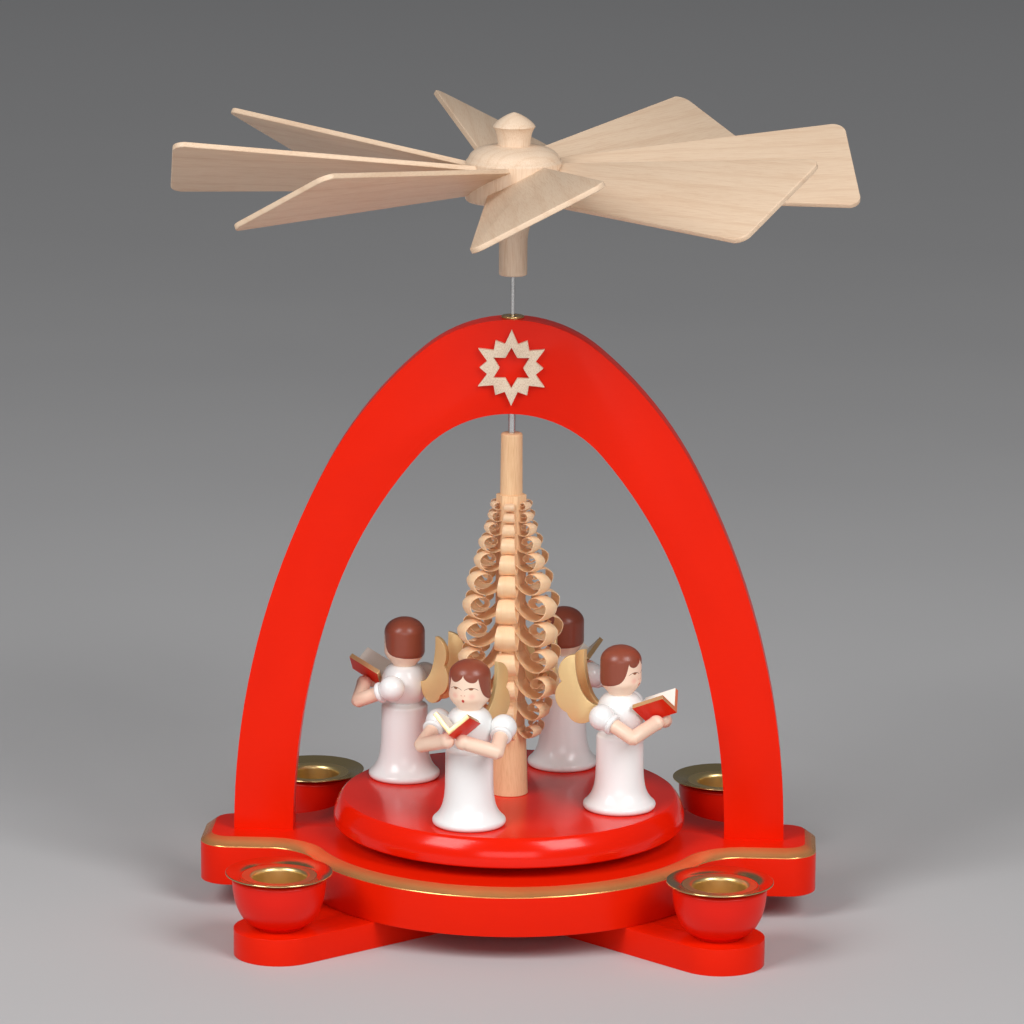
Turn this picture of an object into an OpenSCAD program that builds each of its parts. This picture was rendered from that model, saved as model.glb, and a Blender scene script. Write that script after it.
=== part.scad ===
// Christmas pyramid: four singing angels ride on a turntable round a curl tree, under a
// painted arch, and a wing wheel in the warm air of four candles turns them.
// Millimetres, +Z up. The origin is on the floor, under the axis that everything turns about.

/* [Foot bars] */
// Thickness of the two crossed foot bars
bar_t = 9; // [8:0.5:14]
// Width of a foot bar and of its round ends
bar_w = 30; // [26:1:36]
// Candle distance from the middle, left and right
candle_x = 72; // [70:1:88]
// Candle distance from the middle, front and back
candle_y = 64; // [62:1:80]

/* [Base plate] */
// Thickness of the base plate
base_t = 16; // [14:0.5:22]
// Radius of the round middle of the base plate
base_r = 70.5; // [66:0.5:74]
// Reach of each ear from the middle
ear_reach = 104; // [102:1:116]
// Width of an ear, front to back
ear_w = 36; // [32:1:44]
// Corner radius of the ears
ear_corner_r = 10; // [6:0.5:13]
// Radius of the hollow blend between ear and round middle
ear_blend_r = 18; // [12:1:26]
// Width of the sloping painted edge, seen from above
edge_w = 3.6; // [2:0.2:5]
// Drop of the sloping painted edge
edge_drop = 2.6; // [1.4:0.2:4]

/* [Arch] */
// Thickness of the arch, front to back
arch_t = 10; // [8:0.5:14]
// Half the outside width of the arch at its feet
arch_half_w = 93; // [90:0.5:96]
// Width of an arch leg at its foot
leg_w = 20; // [16:0.5:22]
// Height of the arch above the base plate
arch_h = 176.6; // [170:0.2:190]
// Depth of the arch at its crown
crown_depth = 31.7; // [28:0.1:36]
// Turn of the arch's outer side arc, in degrees
outer_side_turn = 28; // [25:1:31]
// Turn of the arch's outline up to its outer crown arc
outer_shoulder_turn = 50; // [46:1:54]
// Outer shoulder radius as a share of the side radius
outer_shoulder_share = 0.5; // [0.4:0.02:0.6]
// Turn of the arch's inner side arc, in degrees
inner_side_turn = 20; // [17:1:23]
// Turn of the arch's outline up to its inner crown arc
inner_shoulder_turn = 41; // [37:1:45]
// Inner shoulder radius as a share of the side radius
inner_shoulder_share = 0.62; // [0.5:0.02:0.74]

/* [Star] */
// Thickness of the star
star_t = 2; // [1:0.2:4]
// Radius of the star's six long points
star_long_r = 12.8; // [11.6:0.2:13.6]
// Radius of the star's six short points
star_short_r = 10.6; // [9.4:0.2:11.4]
// Radius of the notches between the star's points
star_notch_r = 8.3; // [7.6:0.1:9]
// Radius of the points of the star's cut-out
star_cut_r = 6.9; // [5:0.1:7.3]
// Radius of the notches of the star's cut-out
star_cut_notch_r = 3.9; // [2.6:0.1:4.6]

/* [Turntable] */
// Radius of the turntable
table_r = 59.4; // [57:0.2:62]
// Thickness of the turntable
table_t = 9.5; // [7:0.5:13]
// Gap between base plate and turntable
table_gap = 3.9; // [2:0.1:6]
// Radius of the turntable's bulging side
table_side_r = 11.9; // [11.6:0.1:30]

/* [Wing wheel] */
// Radius of the tips of the blades
blade_tip_r = 112.6; // [100:0.2:120]
// Width of a blade at its tip
blade_tip_w = 47.5; // [38:0.5:52]
// Width of a blade at its root
blade_root_w = 20; // [16:0.5:21]
// Thickness of a blade
blade_t = 1.8; // [1.4:0.1:2.2]
// Slant of the blades
blade_pitch = 27; // [24:1:36]
// Rise of the blades towards their tips, in degrees
blade_rise = 2.4; // [0:0.2:4]
// Corner radius at the tips of the blades
blade_corner_r = 4.5; // [2:0.5:8]
// Radius at which the roots of the blades end inside the hub
blade_seat_r = 10; // [9.5:0.1:11]
// Turn of the wing wheel at rest
wheel_turn = 6.7; // [0:0.1:44]
// Radius of the hub
hub_r = 16; // [15:0.2:18]
// Height of the hub's side
hub_side_h = 14; // [13.5:0.5:18]
// Radius of the hub's stem
stem_r = 4.7; // [4:0.1:6]
// Length of the stem below the hub
stem_len = 24.7; // [20:0.1:34]
// Gap between the arch and the stem
stem_gap = 14.2; // [8:0.1:24]
// Radius of the knob
knob_r = 7.05; // [6:0.05:8]

/* [Shaft and bearing] */
// Radius of the steel rod under the wing wheel
rod_r = 0.75; // [0.6:0.05:1]
// Outside radius of the steel tube on top of the tree
tube_r = 1.3; // [1.25:0.05:1.6]
// Radius of the bush's flange
bush_flange_r = 3.8; // [3:0.1:5]
// Radius of the bush's body
bush_r = 2; // [1.8:0.1:2.6]
// Length of the bush's body
bush_len = 14; // [8:1:20]
// Radius of the pivot pin
pivot_r = 2; // [1.5:0.1:3]
// Radius of the bearing cup
bearing_r = 5; // [4.5:0.1:7]
// Height of the bearing cup
bearing_h = 8; // [7:0.5:10]

/* [Candle holders] */
// Radius of the bowl's rim
bowl_r = 15.4; // [14.4:0.2:16.8]
// Radius of the bowl's foot
bowl_foot_r = 7.9; // [6.5:0.1:9]
// Height of the bowl
bowl_h = 17.1; // [16:0.1:22]
// Bore of the candle cup
socket_r = 8.75; // [7.5:0.05:9]
// Depth of the candle cup
socket_depth = 12; // [9:0.5:12.5]
// Thickness of the cup's sheet brass
cup_t = 0.5; // [0.4:0.1:0.8]
// Radius of the cup's drip flange
flange_r = 17.6; // [17:0.1:19]
// Radius of the flat ring round the cup's mouth
ring_r = 12.5; // [12:0.1:13.5]
// Rise of the drip flange from the ring to its edge
flange_rise = 1.3; // [0.6:0.1:2.5]

/* [Curl tree] */
// Gap between the arch and the top of the tree
tree_gap = 7.3; // [4:0.1:14]
// Length of the bare stem at the top of the tree
tree_stem_len = 23.8; // [20:0.1:28]
// Radius of the tree's bare stem
tree_stem_r = 3.6; // [3:0.1:4]
// Height of the tree's bare foot
tree_foot_h = 23.7; // [18:0.1:28]
// Radius of the tree's foot where it stands
tree_foot_r = 6.3; // [5.6:0.1:8]
// Width of the shaved trunk, across its flats
trunk_flats = 8.8; // [8:0.1:9.6]
// Tiers of curls
curl_tiers = 12; // [9:1:14]
// Reach of the topmost curls
curl_tip_reach = 7.2; // [6.4:0.1:8.4]
// Reach of the widest curls
curl_reach = 18.4; // [15:0.1:19.4]
// Reach of the lowest curls
curl_low_reach = 12; // [10:0.1:14]
// Thickness of a shaving
curl_t = 0.5; // [0.4:0.05:0.6]
// Width of the widest shavings
curl_w = 8.7; // [5:0.1:9.4]
// Width of the narrowest shavings
curl_tip_w = 4.7; // [3:0.1:5]
// Turn of the tree on its trunk
tree_turn = -93; // [-120:1:-60]

/* [Angels] */
// Radius of the ring on which the angels stand
angel_ring_r = 41; // [40:0.5:43]
// Radius of the robe's foot
robe_foot_r = 12.2; // [10.5:0.1:13]
// Radius of the rounded rim of the robe's foot
robe_rim_r = 1.4; // [1:0.1:2]
// Height in which the flare of the skirt falls to about a third
flare_fall = 3.2; // [2.4:0.1:4]
// Radius of the robe's skirt above the flare
skirt_r = 7.9; // [7:0.1:8.2]
// Height of the skirt, up to the waist
skirt_h = 26; // [24:0.5:30]
// Radius of the upper body
bust_r = 8; // [7.4:0.1:8.8]
// Height of the upper body
bust_h = 13.4; // [12:0.2:15]
// Radius of the head
head_r = 6.9; // [6:0.1:7.6]
// Height of the head
head_h = 16.6; // [15.4:0.2:19]
// Radius of the neck under the head
throat_r = 3.8; // [3:0.1:4.2]
// Height of the rounded jaw
jaw_h = 4.9; // [4:0.1:6]
// Height of the rounded crown
crown_h = 5.2; // [4.4:0.1:6.4]
// Radius of the puffed sleeves
puff_r = 4.4; // [3.8:0.1:4.8]
// Radius of the arms
arm_r = 2.45; // [2:0.05:2.7]
// Radius of the hands
hand_r = 2.6; // [2.2:0.05:2.9]
// Elbow distance in front of the body's middle
elbow_fwd = 10.5; // [9.5:0.1:12]
// Elbow distance to the side of the body's middle
elbow_out = 13; // [12.5:0.1:14.5]
// Drop from shoulder to elbow
elbow_drop = 5.2; // [3:0.1:6.5]
// Length of the song book along its spine
book_len = 12; // [10:0.1:14]
// Width of one leaf of the song book
leaf_w = 9; // [7:0.1:10]
// Thickness of one leaf with its cover
leaf_t = 1.6; // [1:0.1:2]
// Upward tilt of the open book
book_tilt = 23; // [15:1:30]
// Thickness of the wings
wing_t = 1.5; // [1:0.1:2]
// Height of the wing's root above the waist
wing_up = 8.4; // [7.5:0.1:9.5]
// Turn of each wing away from straight back
wing_splay = 20; // [14:1:30]

/* [Fits] */
// Gap all round in glued joints
glue_gap = 0.04; // [0.02:0.01:0.08]
// Gap all round in running fits
run_gap = 0.05; // [0.02:0.01:0.08]
// Gap of the brass cups in their bowls
cup_gap = 0.15; // [0.1:0.05:0.3]
// Radius of the dowels in the arch's feet
arch_dowel_r = 2.5; // [2:0.1:3]
// Radius of the dowels under the bowls
bowl_dowel_r = 3; // [2:0.1:4]
// Radius of the screws in the foot bars
screw_r = 1.7; // [1.4:0.1:2.2]

/* [Hidden] */
$fn = 96;
// Lap of forms that are joined
eps = 0.01;
// Overrun of a form that cuts
over = 1;

// Place of each angel round the tree, in degrees
angel_turns = [-106, -23, 66, 154];
angels = len(angel_turns);
blades = 8;

angel_pieces = ["robe", "head", "arm_left", "arm_right", "book", "wing_left", "wing_right"];

// Colours
red_paint = [0.90, 0.13, 0.05];
pale_wood = [0.88, 0.76, 0.60];
lime_wood = [0.90, 0.72, 0.50];
brass = [0.72, 0.57, 0.25];
steel = [0.62, 0.62, 0.63];
white_paint = [0.93, 0.92, 0.90];
skin_paint = [0.95, 0.78, 0.66];
hair_paint = [0.45, 0.22, 0.16];
gold_paint = [0.80, 0.63, 0.38];
book_paint = [0.70, 0.14, 0.10];

// Heights above the floor
base_top = bar_t + base_t;
table_bottom = base_top + table_gap;
table_top = table_bottom + table_t;
outer_crown = base_top + arch_h;
inner_crown = outer_crown - crown_depth;
tree_top = inner_crown - tree_gap;
stem_bottom = outer_crown + stem_gap;
hub_bottom = stem_bottom + stem_len;
hub_rim = hub_bottom + hub_side_h;
blade_z = hub_bottom + hub_side_h / 2;

// Candle places: front left, front right, back right, back left
candle_places = [
    [-candle_x, -candle_y], [candle_x, -candle_y], [candle_x, candle_y], [-candle_x, candle_y]
];
bar_half = norm([candle_x, candle_y]);
bar_turn = atan2(candle_y, candle_x);

// Points on an arc about a centre, from one angle to another
function arc(centre, r, from, to, steps = 8) = [
    for (i = [0:steps]) let (a = from + (to - from) * i / steps) centre + r * [cos(a), sin(a)]
];

// Points on part of an ellipse about a centre
function ellipse_arc(centre, rx, ry, from, to, steps = 8) = [
    for (i = [0:steps]) let (a = from + (to - from) * i / steps) centre + [rx * cos(a), ry * sin(a)]
];

// Foot bars, halved where they cross

module bar_blank(turn, height) {
    rotate([0, 0, turn])
        linear_extrude(height) {
            square([2 * bar_half, bar_w], center = true);
            for (side = [-1, 1])
                translate([side * bar_half, 0])
                    circle(d = bar_w);
        }
}

screw_ring = 0.42 * base_r;
screw_len = bar_t + 0.6 * base_t;
screw_head_r = 2 * screw_r;
screw_head_h = screw_r;
screw_turns = [bar_turn, 180 - bar_turn, 180 + bar_turn, -bar_turn];

// A countersunk screw, head down and flush with the underside of the bar
module screw(gap = 0) {
    translate([0, 0, -gap])
        cylinder(r1 = screw_head_r + 2 * gap, r2 = screw_r + gap, h = screw_head_h + gap);
    cylinder(r = screw_r + gap, h = screw_len + gap);
}

module at_screws() {
    for (turn = screw_turns)
        rotate([0, 0, turn])
            translate([screw_ring, 0, 0])
                children();
}

bowl_dowel_in_bar = bar_t / 2;
bowl_dowel_in_bowl = (bowl_h - socket_depth - cup_t) / 2;

module at_candles() {
    for (place = candle_places)
        translate([place.x, place.y, bar_t])
            children();
}

module bowl_dowel(gap = 0) {
    translate([0, 0, -bowl_dowel_in_bar - gap])
        cylinder(r = bowl_dowel_r + gap, h = bowl_dowel_in_bar + bowl_dowel_in_bowl + 2 * gap);
}

module foot_bar(turn, lap_from) {
    difference() {
        bar_blank(turn, bar_t);
        translate([0, 0, lap_from])
            bar_blank(-turn, bar_t / 2 + over);
        at_screws()
            screw(glue_gap);
        at_candles()
            bowl_dowel(glue_gap);
    }
}

module cross_bar_lower() {
    color(red_paint)
        foot_bar(bar_turn, bar_t / 2);
}

module cross_bar_upper() {
    color(red_paint)
        foot_bar(-bar_turn, -over);
}

module base_screws() {
    color(steel)
        at_screws()
            screw();
}

module bowl_dowels() {
    color(pale_wood)
        at_candles()
            bowl_dowel();
}

// Base plate: a round middle, two ears that run through it, and hollow blends between them

ear_half = ear_w / 2;
corner_x = ear_reach - ear_corner_r;
corner_y = ear_half - ear_corner_r;
// Depth by which a blend runs into its neighbours, so that it meets them at a slight crease
blend_bite = 0.02;
blend_y = ear_half + ear_blend_r - blend_bite;
blend_x = sqrt(pow(base_r + ear_blend_r - blend_bite, 2) - pow(blend_y, 2));

module base_middle() {
    rotate_extrude()
        polygon([
            [0, 0], [base_r, 0], [base_r, base_t - edge_drop], [base_r - edge_w, base_t], [0, base_t]
        ]);
}

module base_blend() {
    difference() {
        linear_extrude(base_t)
            polygon([[0, 0], [blend_x, 0], [blend_x, blend_y]]);
        translate([blend_x, blend_y])
            rotate_extrude()
                polygon([
                    [0, -over], [ear_blend_r, -over], [ear_blend_r, base_t - edge_drop],
                    [ear_blend_r + edge_w * (1 + over / edge_drop), base_t + over], [0, base_t + over]
                ]);
    }
}

module ear_outline() {
    square([2 * corner_x, ear_w], center = true);
    square([2 * ear_reach, 2 * corner_y], center = true);
    for (sx = [-1, 1], sy = [-1, 1])
        translate([sx * corner_x, sy * corner_y])
            circle(r = ear_corner_r);
}

// Section of what the sloping edge takes off a wall at r, with the plate on its inner side
module edge_section(r) {
    spare = 0.2;
    polygon([
        [r - (1 + spare) * edge_w, base_t + spare * edge_drop],
        [r + spare * edge_w, base_t - (1 + spare) * edge_drop],
        [r + spare * edge_w, base_t + spare * edge_drop]
    ]);
}

// Straight edge along +X from its start, with the plate on the -Y side
module straight_edge(start, turn, length) {
    translate(start)
        rotate([0, 0, turn])
            rotate([90, 0, 90])
                linear_extrude(length)
                    edge_section(0);
}

module corner_edge(centre, from) {
    translate(centre)
        rotate([0, 0, from])
            rotate_extrude(angle = 90)
                edge_section(ear_corner_r);
}

module base_ears() {
    difference() {
        difference() {
            linear_extrude(base_t)
                ear_outline();
            for (side = [0, 180])
                rotate([0, 0, side]) {
                    straight_edge([-corner_x, ear_half], 0, 2 * corner_x);
                    straight_edge([ear_reach, corner_y], -90, 2 * corner_y);
                }
        }
        for (side = [0, 180])
            rotate([0, 0, side]) {
                corner_edge([corner_x, corner_y], 0);
                corner_edge([corner_x, -corner_y], -90);
            }
    }
}

arch_dowel_in_base = 0.6 * base_t;
arch_dowel_in_leg = 14;
arch_dowel_step = leg_w / 4;
leg_middle = arch_half_w - leg_w / 2;

module arch_dowel_pins(gap = 0) {
    for (side = [-1, 1], step = [-1, 1])
        translate([side * leg_middle + step * arch_dowel_step, 0, base_top - arch_dowel_in_base - gap])
            cylinder(r = arch_dowel_r + gap, h = arch_dowel_in_base + arch_dowel_in_leg + 2 * gap);
}

module base_plate() {
    color(red_paint)
        difference() {
            translate([0, 0, bar_t]) {
                base_middle();
                base_ears();
                for (mx = [0, 1], my = [0, 1])
                    mirror([mx, 0, 0])
                        mirror([0, my, 0])
                            base_blend();
            }
            arch_dowel_pins(glue_gap);
            at_screws()
                screw(glue_gap);
            translate([0, 0, base_top - bearing_h - glue_gap])
                cylinder(r = bearing_r + glue_gap, h = bearing_h + over);
        }
}

module arch_dowels() {
    color(pale_wood)
        arch_dowel_pins();
}

// Pivot: a pointed pin turns in a hollow cone

// Height of the cones for each millimetre of their radius
cone_rise = 1.7;
seat_margin = 1;
seat_mouth_r = pivot_r + seat_margin;
seat_depth = cone_rise * seat_mouth_r;
pivot_point_h = cone_rise * pivot_r;
pivot_tip = base_top - seat_depth + 2 * run_gap;
pivot_in_tree = 8;

module bearing_cup() {
    color(brass)
        translate([0, 0, base_top - bearing_h])
            difference() {
                cylinder(r = bearing_r, h = bearing_h);
                translate([0, 0, bearing_h - seat_depth])
                    cylinder(r1 = 0, r2 = seat_mouth_r, h = seat_depth);
                translate([0, 0, bearing_h])
                    cylinder(r = seat_mouth_r, h = over);
            }
}

module pivot_shank(gap = 0) {
    shank_from = pivot_tip + pivot_point_h;
    translate([0, 0, shank_from])
        cylinder(r = pivot_r + gap, h = table_top + pivot_in_tree + gap - shank_from);
}

module pivot_pin() {
    color(steel) {
        pivot_shank();
        translate([0, 0, pivot_tip])
            cylinder(r1 = 0, r2 = pivot_r, h = pivot_point_h);
    }
}

// Arch, each side of its outline three arcs that run into each other

// Radius of the side arc of an arch of half width w and height h
function side_radius(w, h, turn_1, turn_2, share) =
    let (slope = (1 - sin(turn_2)) / cos(turn_2))
    (h - slope * w) / (
        sin(turn_1) + share * (sin(turn_2) - sin(turn_1))
        - slope * (1 - cos(turn_1)) - slope * share * (cos(turn_1) - cos(turn_2))
    );

// Each band of the arch's outline reaches this far down inside the one below it
arch_lap = 5;

// The part of two circles' overlap that lies between two heights
module arch_band(centre, r, low, high) {
    intersection() {
        translate(centre)
            circle(r = r, $fn = 180);
        translate([-centre.x, centre.y])
            circle(r = r, $fn = 180);
        translate([-2 * arch_half_w, low])
            square([4 * arch_half_w, high - low]);
    }
}

module arch_area(w, h, turn_1, turn_2, share, below) {
    r_1 = side_radius(w, h, turn_1, turn_2, share);
    r_2 = share * r_1;
    c_1 = [w - r_1, 0];
    p_1 = c_1 + r_1 * [cos(turn_1), sin(turn_1)];
    c_2 = p_1 - r_2 * [cos(turn_1), sin(turn_1)];
    p_2 = c_2 + r_2 * [cos(turn_2), sin(turn_2)];
    r_3 = p_2.x / cos(turn_2);
    c_3 = [0, h - r_3];
    arch_band(c_1, r_1, -below, p_1.y);
    arch_band(c_2, r_2, p_1.y - arch_lap, p_2.y);
    arch_band(c_3, r_3, p_2.y - arch_lap, h + over);
}

bush_flange_t = 1;
bush_seat_depth = 0.3;
bush_seat = outer_crown - bush_seat_depth;
bush_bore_r = rod_r + run_gap;

module arch() {
    color(red_paint)
        difference() {
            translate([0, arch_t / 2, base_top])
                rotate([90, 0, 0])
                    linear_extrude(arch_t)
                        difference() {
                            arch_area(arch_half_w, arch_h,
                                outer_side_turn, outer_shoulder_turn, outer_shoulder_share, 0);
                            arch_area(arch_half_w - leg_w, arch_h - crown_depth,
                                inner_side_turn, inner_shoulder_turn, inner_shoulder_share, over);
                        }
            arch_dowel_pins(glue_gap);
            translate([0, 0, inner_crown - over])
                cylinder(r = bush_r + glue_gap, h = crown_depth + 2 * over);
            translate([0, 0, bush_seat])
                cylinder(r = bush_flange_r + glue_gap, h = bush_seat_depth + over);
        }
}

module arch_bush() {
    color(brass)
        difference() {
            union() {
                translate([0, 0, bush_seat])
                    cylinder(r = bush_flange_r, h = bush_flange_t);
                translate([0, 0, bush_seat - bush_len])
                    cylinder(r = bush_r, h = bush_len + eps);
            }
            translate([0, 0, bush_seat - bush_len - over])
                cylinder(r = bush_bore_r, h = bush_len + bush_flange_t + 2 * over);
        }
}

// Star on the front of the crown

star_z = outer_crown - crown_depth / 2;
star_points = 6;
star_step = 90 / star_points;
star_radii = [star_long_r, star_notch_r, star_short_r, star_notch_r];
star_cut_radii = [star_cut_r, star_cut_notch_r];

// Points at equal steps round a star, on radii that take turns
function star_outline(radii, step) = [
    for (i = [0:360 / step - 1]) radii[i % len(radii)] * [sin(step * i), cos(step * i)]
];

module star() {
    color(pale_wood)
        translate([0, -arch_t / 2, star_z])
            rotate([90, 0, 0])
                linear_extrude(star_t)
                    difference() {
                        polygon(star_outline(star_radii, star_step));
                        polygon(star_outline(star_cut_radii, 2 * star_step));
                    }
}

// Candle holders

cup_wall_r = socket_r + cup_t;
lip_r = 1.4;
cup_top = cup_t;
ring_step = [0.4, 0.3];
flange_edge_w = 0.3;
flange_edge_drop = 0.1;
bowl_foot_h = 1;
bowl_foot_inset = 0.4;
bowl_round = 0.8;
belly_top = bowl_h - 1;

module candle_bowl(k) {
    place = candle_places[k - 1];
    recess_r = cup_wall_r + cup_gap;
    mouth_r = recess_r + lip_r;
    color(red_paint)
        translate([place.x, place.y, bar_t])
            difference() {
                rotate_extrude()
                    polygon(concat(
                        [[0, 0], [bowl_foot_r, 0], [bowl_foot_r, bowl_foot_h]],
                        ellipse_arc([bowl_foot_r - bowl_foot_inset, belly_top],
                            bowl_r - bowl_foot_r + bowl_foot_inset, belly_top - bowl_foot_h, -80, 0, 10),
                        arc([bowl_r - bowl_round, bowl_h - bowl_round], bowl_round, 0, 90, 3),
                        [[mouth_r, bowl_h], [recess_r, bowl_h - lip_r]],
                        [[recess_r, bowl_h - socket_depth - cup_t], [0, bowl_h - socket_depth - cup_t]]
                    ));
                bowl_dowel(glue_gap);
            }
}

module candle_cup(k) {
    place = candle_places[k - 1];
    flange_edge = cup_top + flange_rise;
    color(brass)
        translate([place.x, place.y, bar_t + bowl_h])
            rotate_extrude()
                polygon(concat(
                    [[0, -socket_depth], [socket_r, -socket_depth]],
                    arc([socket_r + lip_r, cup_top - lip_r], lip_r, 180, 90, 4),
                    [[ring_r, cup_top], [ring_r, cup_top] + ring_step],
                    [[flange_r - flange_edge_w, flange_edge], [flange_r, flange_edge - flange_edge_drop]],
                    [[flange_r, flange_edge - cup_t], [ring_r, cup_top - cup_t] + ring_step],
                    [[ring_r, cup_top - cup_t], [socket_r + lip_r, cup_top - cup_t]],
                    [[cup_wall_r, cup_top - lip_r], [cup_wall_r, -socket_depth - cup_t]],
                    [[0, -socket_depth - cup_t]]
                ));
}

// Turntable

table_chamfer = 0.6;
// Height over the underside where the turntable is widest
table_widest_z = 1.5;

module turntable() {
    side_turn = asin((table_t - table_widest_z) / table_side_r);
    color(red_paint)
        difference() {
            translate([0, 0, table_bottom])
                rotate_extrude($fn = 180)
                    polygon(concat(
                        [[0, 0], [table_r - table_chamfer, 0], [table_r, table_chamfer]],
                        arc([table_r - table_side_r, table_widest_z], table_side_r, 0, side_turn),
                        [[0, table_t]]
                    ));
            pivot_shank(glue_gap);
        }
}

// Curl tree: a trunk with six flats, and a column of curled shavings on each flat

curl_columns = 6;
trunk_r = trunk_flats / 2;
curl_top_z = tree_top - tree_stem_len;
curl_low_z = table_top + tree_foot_h;
curl_span = curl_top_z - curl_low_z;
widest_share = 0.6;
tier_sway = 0.46;
tier_turn = 250;
reach_power = 1.2;
// A curl's radius halves in this turn
halving_turn = 200;
curl_decay = ln(2) / halving_turn;
curl_last_turn = 540;
curl_steps = 14;
// Radius at which a curl ends, in thicknesses of its shaving
curl_core = 2.2;
// Thickness of a small curl's shaving: share of its radius, and least share of the full thickness
curl_t_share = 0.07;
curl_t_least = 0.55;
// Where a shaving leaves the trunk: shares of its radius, and depths inside the flat
root_low = 0.45;
root_high = 0.7;
root_in = 0.7;
root_lip = 0.2;
// Half the angle that a column of curls fills
column_half = 180 / curl_columns - 1;
foot_taper = 0.8;
foot_dome = 1;
trunk_in_foot = 2;
trunk_in_stem = 3;
tree_stem_taper = 0.2;
tree_stem_chamfer = 0.7;

function tier_raw(u) = u - tier_sway * sin(tier_turn * u) / (tier_turn * PI / 180);

// Share of the curls' height at which a tier starts, counted from the top
function tier_share(tier) = tier_raw(tier / (curl_tiers - 1)) / tier_raw(1);

function tier_reach(share) = share < widest_share
    ? curl_tip_reach + (curl_reach - curl_tip_reach) * pow(sin(90 * share / widest_share), reach_power)
    : curl_reach - (curl_reach - curl_low_reach) * pow((share - widest_share) / (1 - widest_share), 2);

// A shaving seen from the side: it leaves the trunk downwards and rolls up in a spiral
function curl_outline(r, t) =
    let (last = min(curl_last_turn, ln(r / (curl_core * t)) / curl_decay))
    let (turns = [for (i = [0:curl_steps]) last * i / curl_steps])
    let (centre = [trunk_r + r, 0])
    concat(
        [[trunk_r - root_in, root_low * r]],
        [for (a = turns) centre - r * exp(-curl_decay * a) * [cos(a), sin(a)]],
        [
            for (i = [curl_steps:-1:0]) let (a = turns[i])
            centre - (r * exp(-curl_decay * a) - t) * [cos(a), sin(a)]
        ],
        [[trunk_r - root_lip, root_high * r]]
    );

module curl_column() {
    intersection() {
        for (tier = [0:curl_tiers - 1]) {
            share = tier_share(tier);
            reach = tier_reach(share);
            r = (reach - trunk_r) / (1 + exp(-180 * curl_decay));
            t = max(curl_t_least * curl_t, min(curl_t, curl_t_share * r));
            spread = (reach - curl_tip_reach) / (curl_reach - curl_tip_reach);
            w = curl_tip_w + (curl_w - curl_tip_w) * spread;
            translate([0, w / 2, curl_top_z - curl_span * share])
                rotate([90, 0, 0])
                    linear_extrude(w)
                        polygon(curl_outline(r, t));
        }
        translate([0, 0, table_top])
            linear_extrude(tree_top - table_top)
                polygon(2 * curl_reach * [[0, 0], [1, tan(column_half)], [1, -tan(column_half)]]);
    }
}

tube_in_tree = 16;
tube_in_arch = 11;
tube_bottom = tree_top - tube_in_tree;
tube_len = tube_in_tree + tree_gap + tube_in_arch;

module curl_tree() {
    color(lime_wood)
        difference() {
            union() {
                rotate_extrude()
                    polygon([
                        [0, table_top], [tree_foot_r, table_top],
                        [tree_foot_r - foot_taper, curl_low_z - foot_dome], [0, curl_low_z]
                    ]);
                rotate([0, 0, tree_turn + 180 / curl_columns])
                    translate([0, 0, curl_low_z - trunk_in_foot])
                        cylinder(r = trunk_r / cos(180 / curl_columns),
                            h = curl_span + trunk_in_foot + trunk_in_stem, $fn = curl_columns);
                translate([0, 0, curl_top_z])
                    rotate_extrude()
                        polygon([
                            [0, 0], [tree_stem_r + tree_stem_taper, 0],
                            [tree_stem_r, tree_stem_len - tree_stem_chamfer],
                            [tree_stem_r - tree_stem_chamfer, tree_stem_len], [0, tree_stem_len]
                        ]);
                for (column = [0:curl_columns - 1])
                    rotate([0, 0, tree_turn + 360 * column / curl_columns])
                        curl_column();
            }
            translate([0, 0, tube_bottom - glue_gap])
                cylinder(r = tube_r + glue_gap, h = tube_in_tree + over);
            pivot_shank(glue_gap);
        }
}

// Shaft: the rod of the wing wheel plugs into the tube on the tree

module drive_tube() {
    color(steel)
        translate([0, 0, tube_bottom])
            difference() {
                cylinder(r = tube_r, h = tube_len);
                translate([0, 0, -over])
                    cylinder(r = rod_r + run_gap, h = tube_len + 2 * over);
            }
}

rod_in_hub = 20;
rod_above_tube_end = 2;
rod_bottom = tube_bottom + rod_above_tube_end;

module rotor_rod() {
    color(steel)
        translate([0, 0, rod_bottom])
            cylinder(r = rod_r, h = stem_bottom + rod_in_hub - rod_bottom);
}

// Wing wheel

hub_round = 1.2;
hub_dome = 4.6;
knob_neck_r = 5.4;
knob_low_h = 6.2;
knob_tip_h = 4.7;
hub_shoulder = 1;
// Part of a quarter turn that the hollow under the knob takes
knob_flare_from = 10;
knob_flare_turn = 60;
// Power of the knob's rounded top, between a cone and a dome
knob_top_power = 1.5;
stem_flare_r = 20;
stem_straight = 10.5;
stem_chamfer = 0.6;

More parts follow.
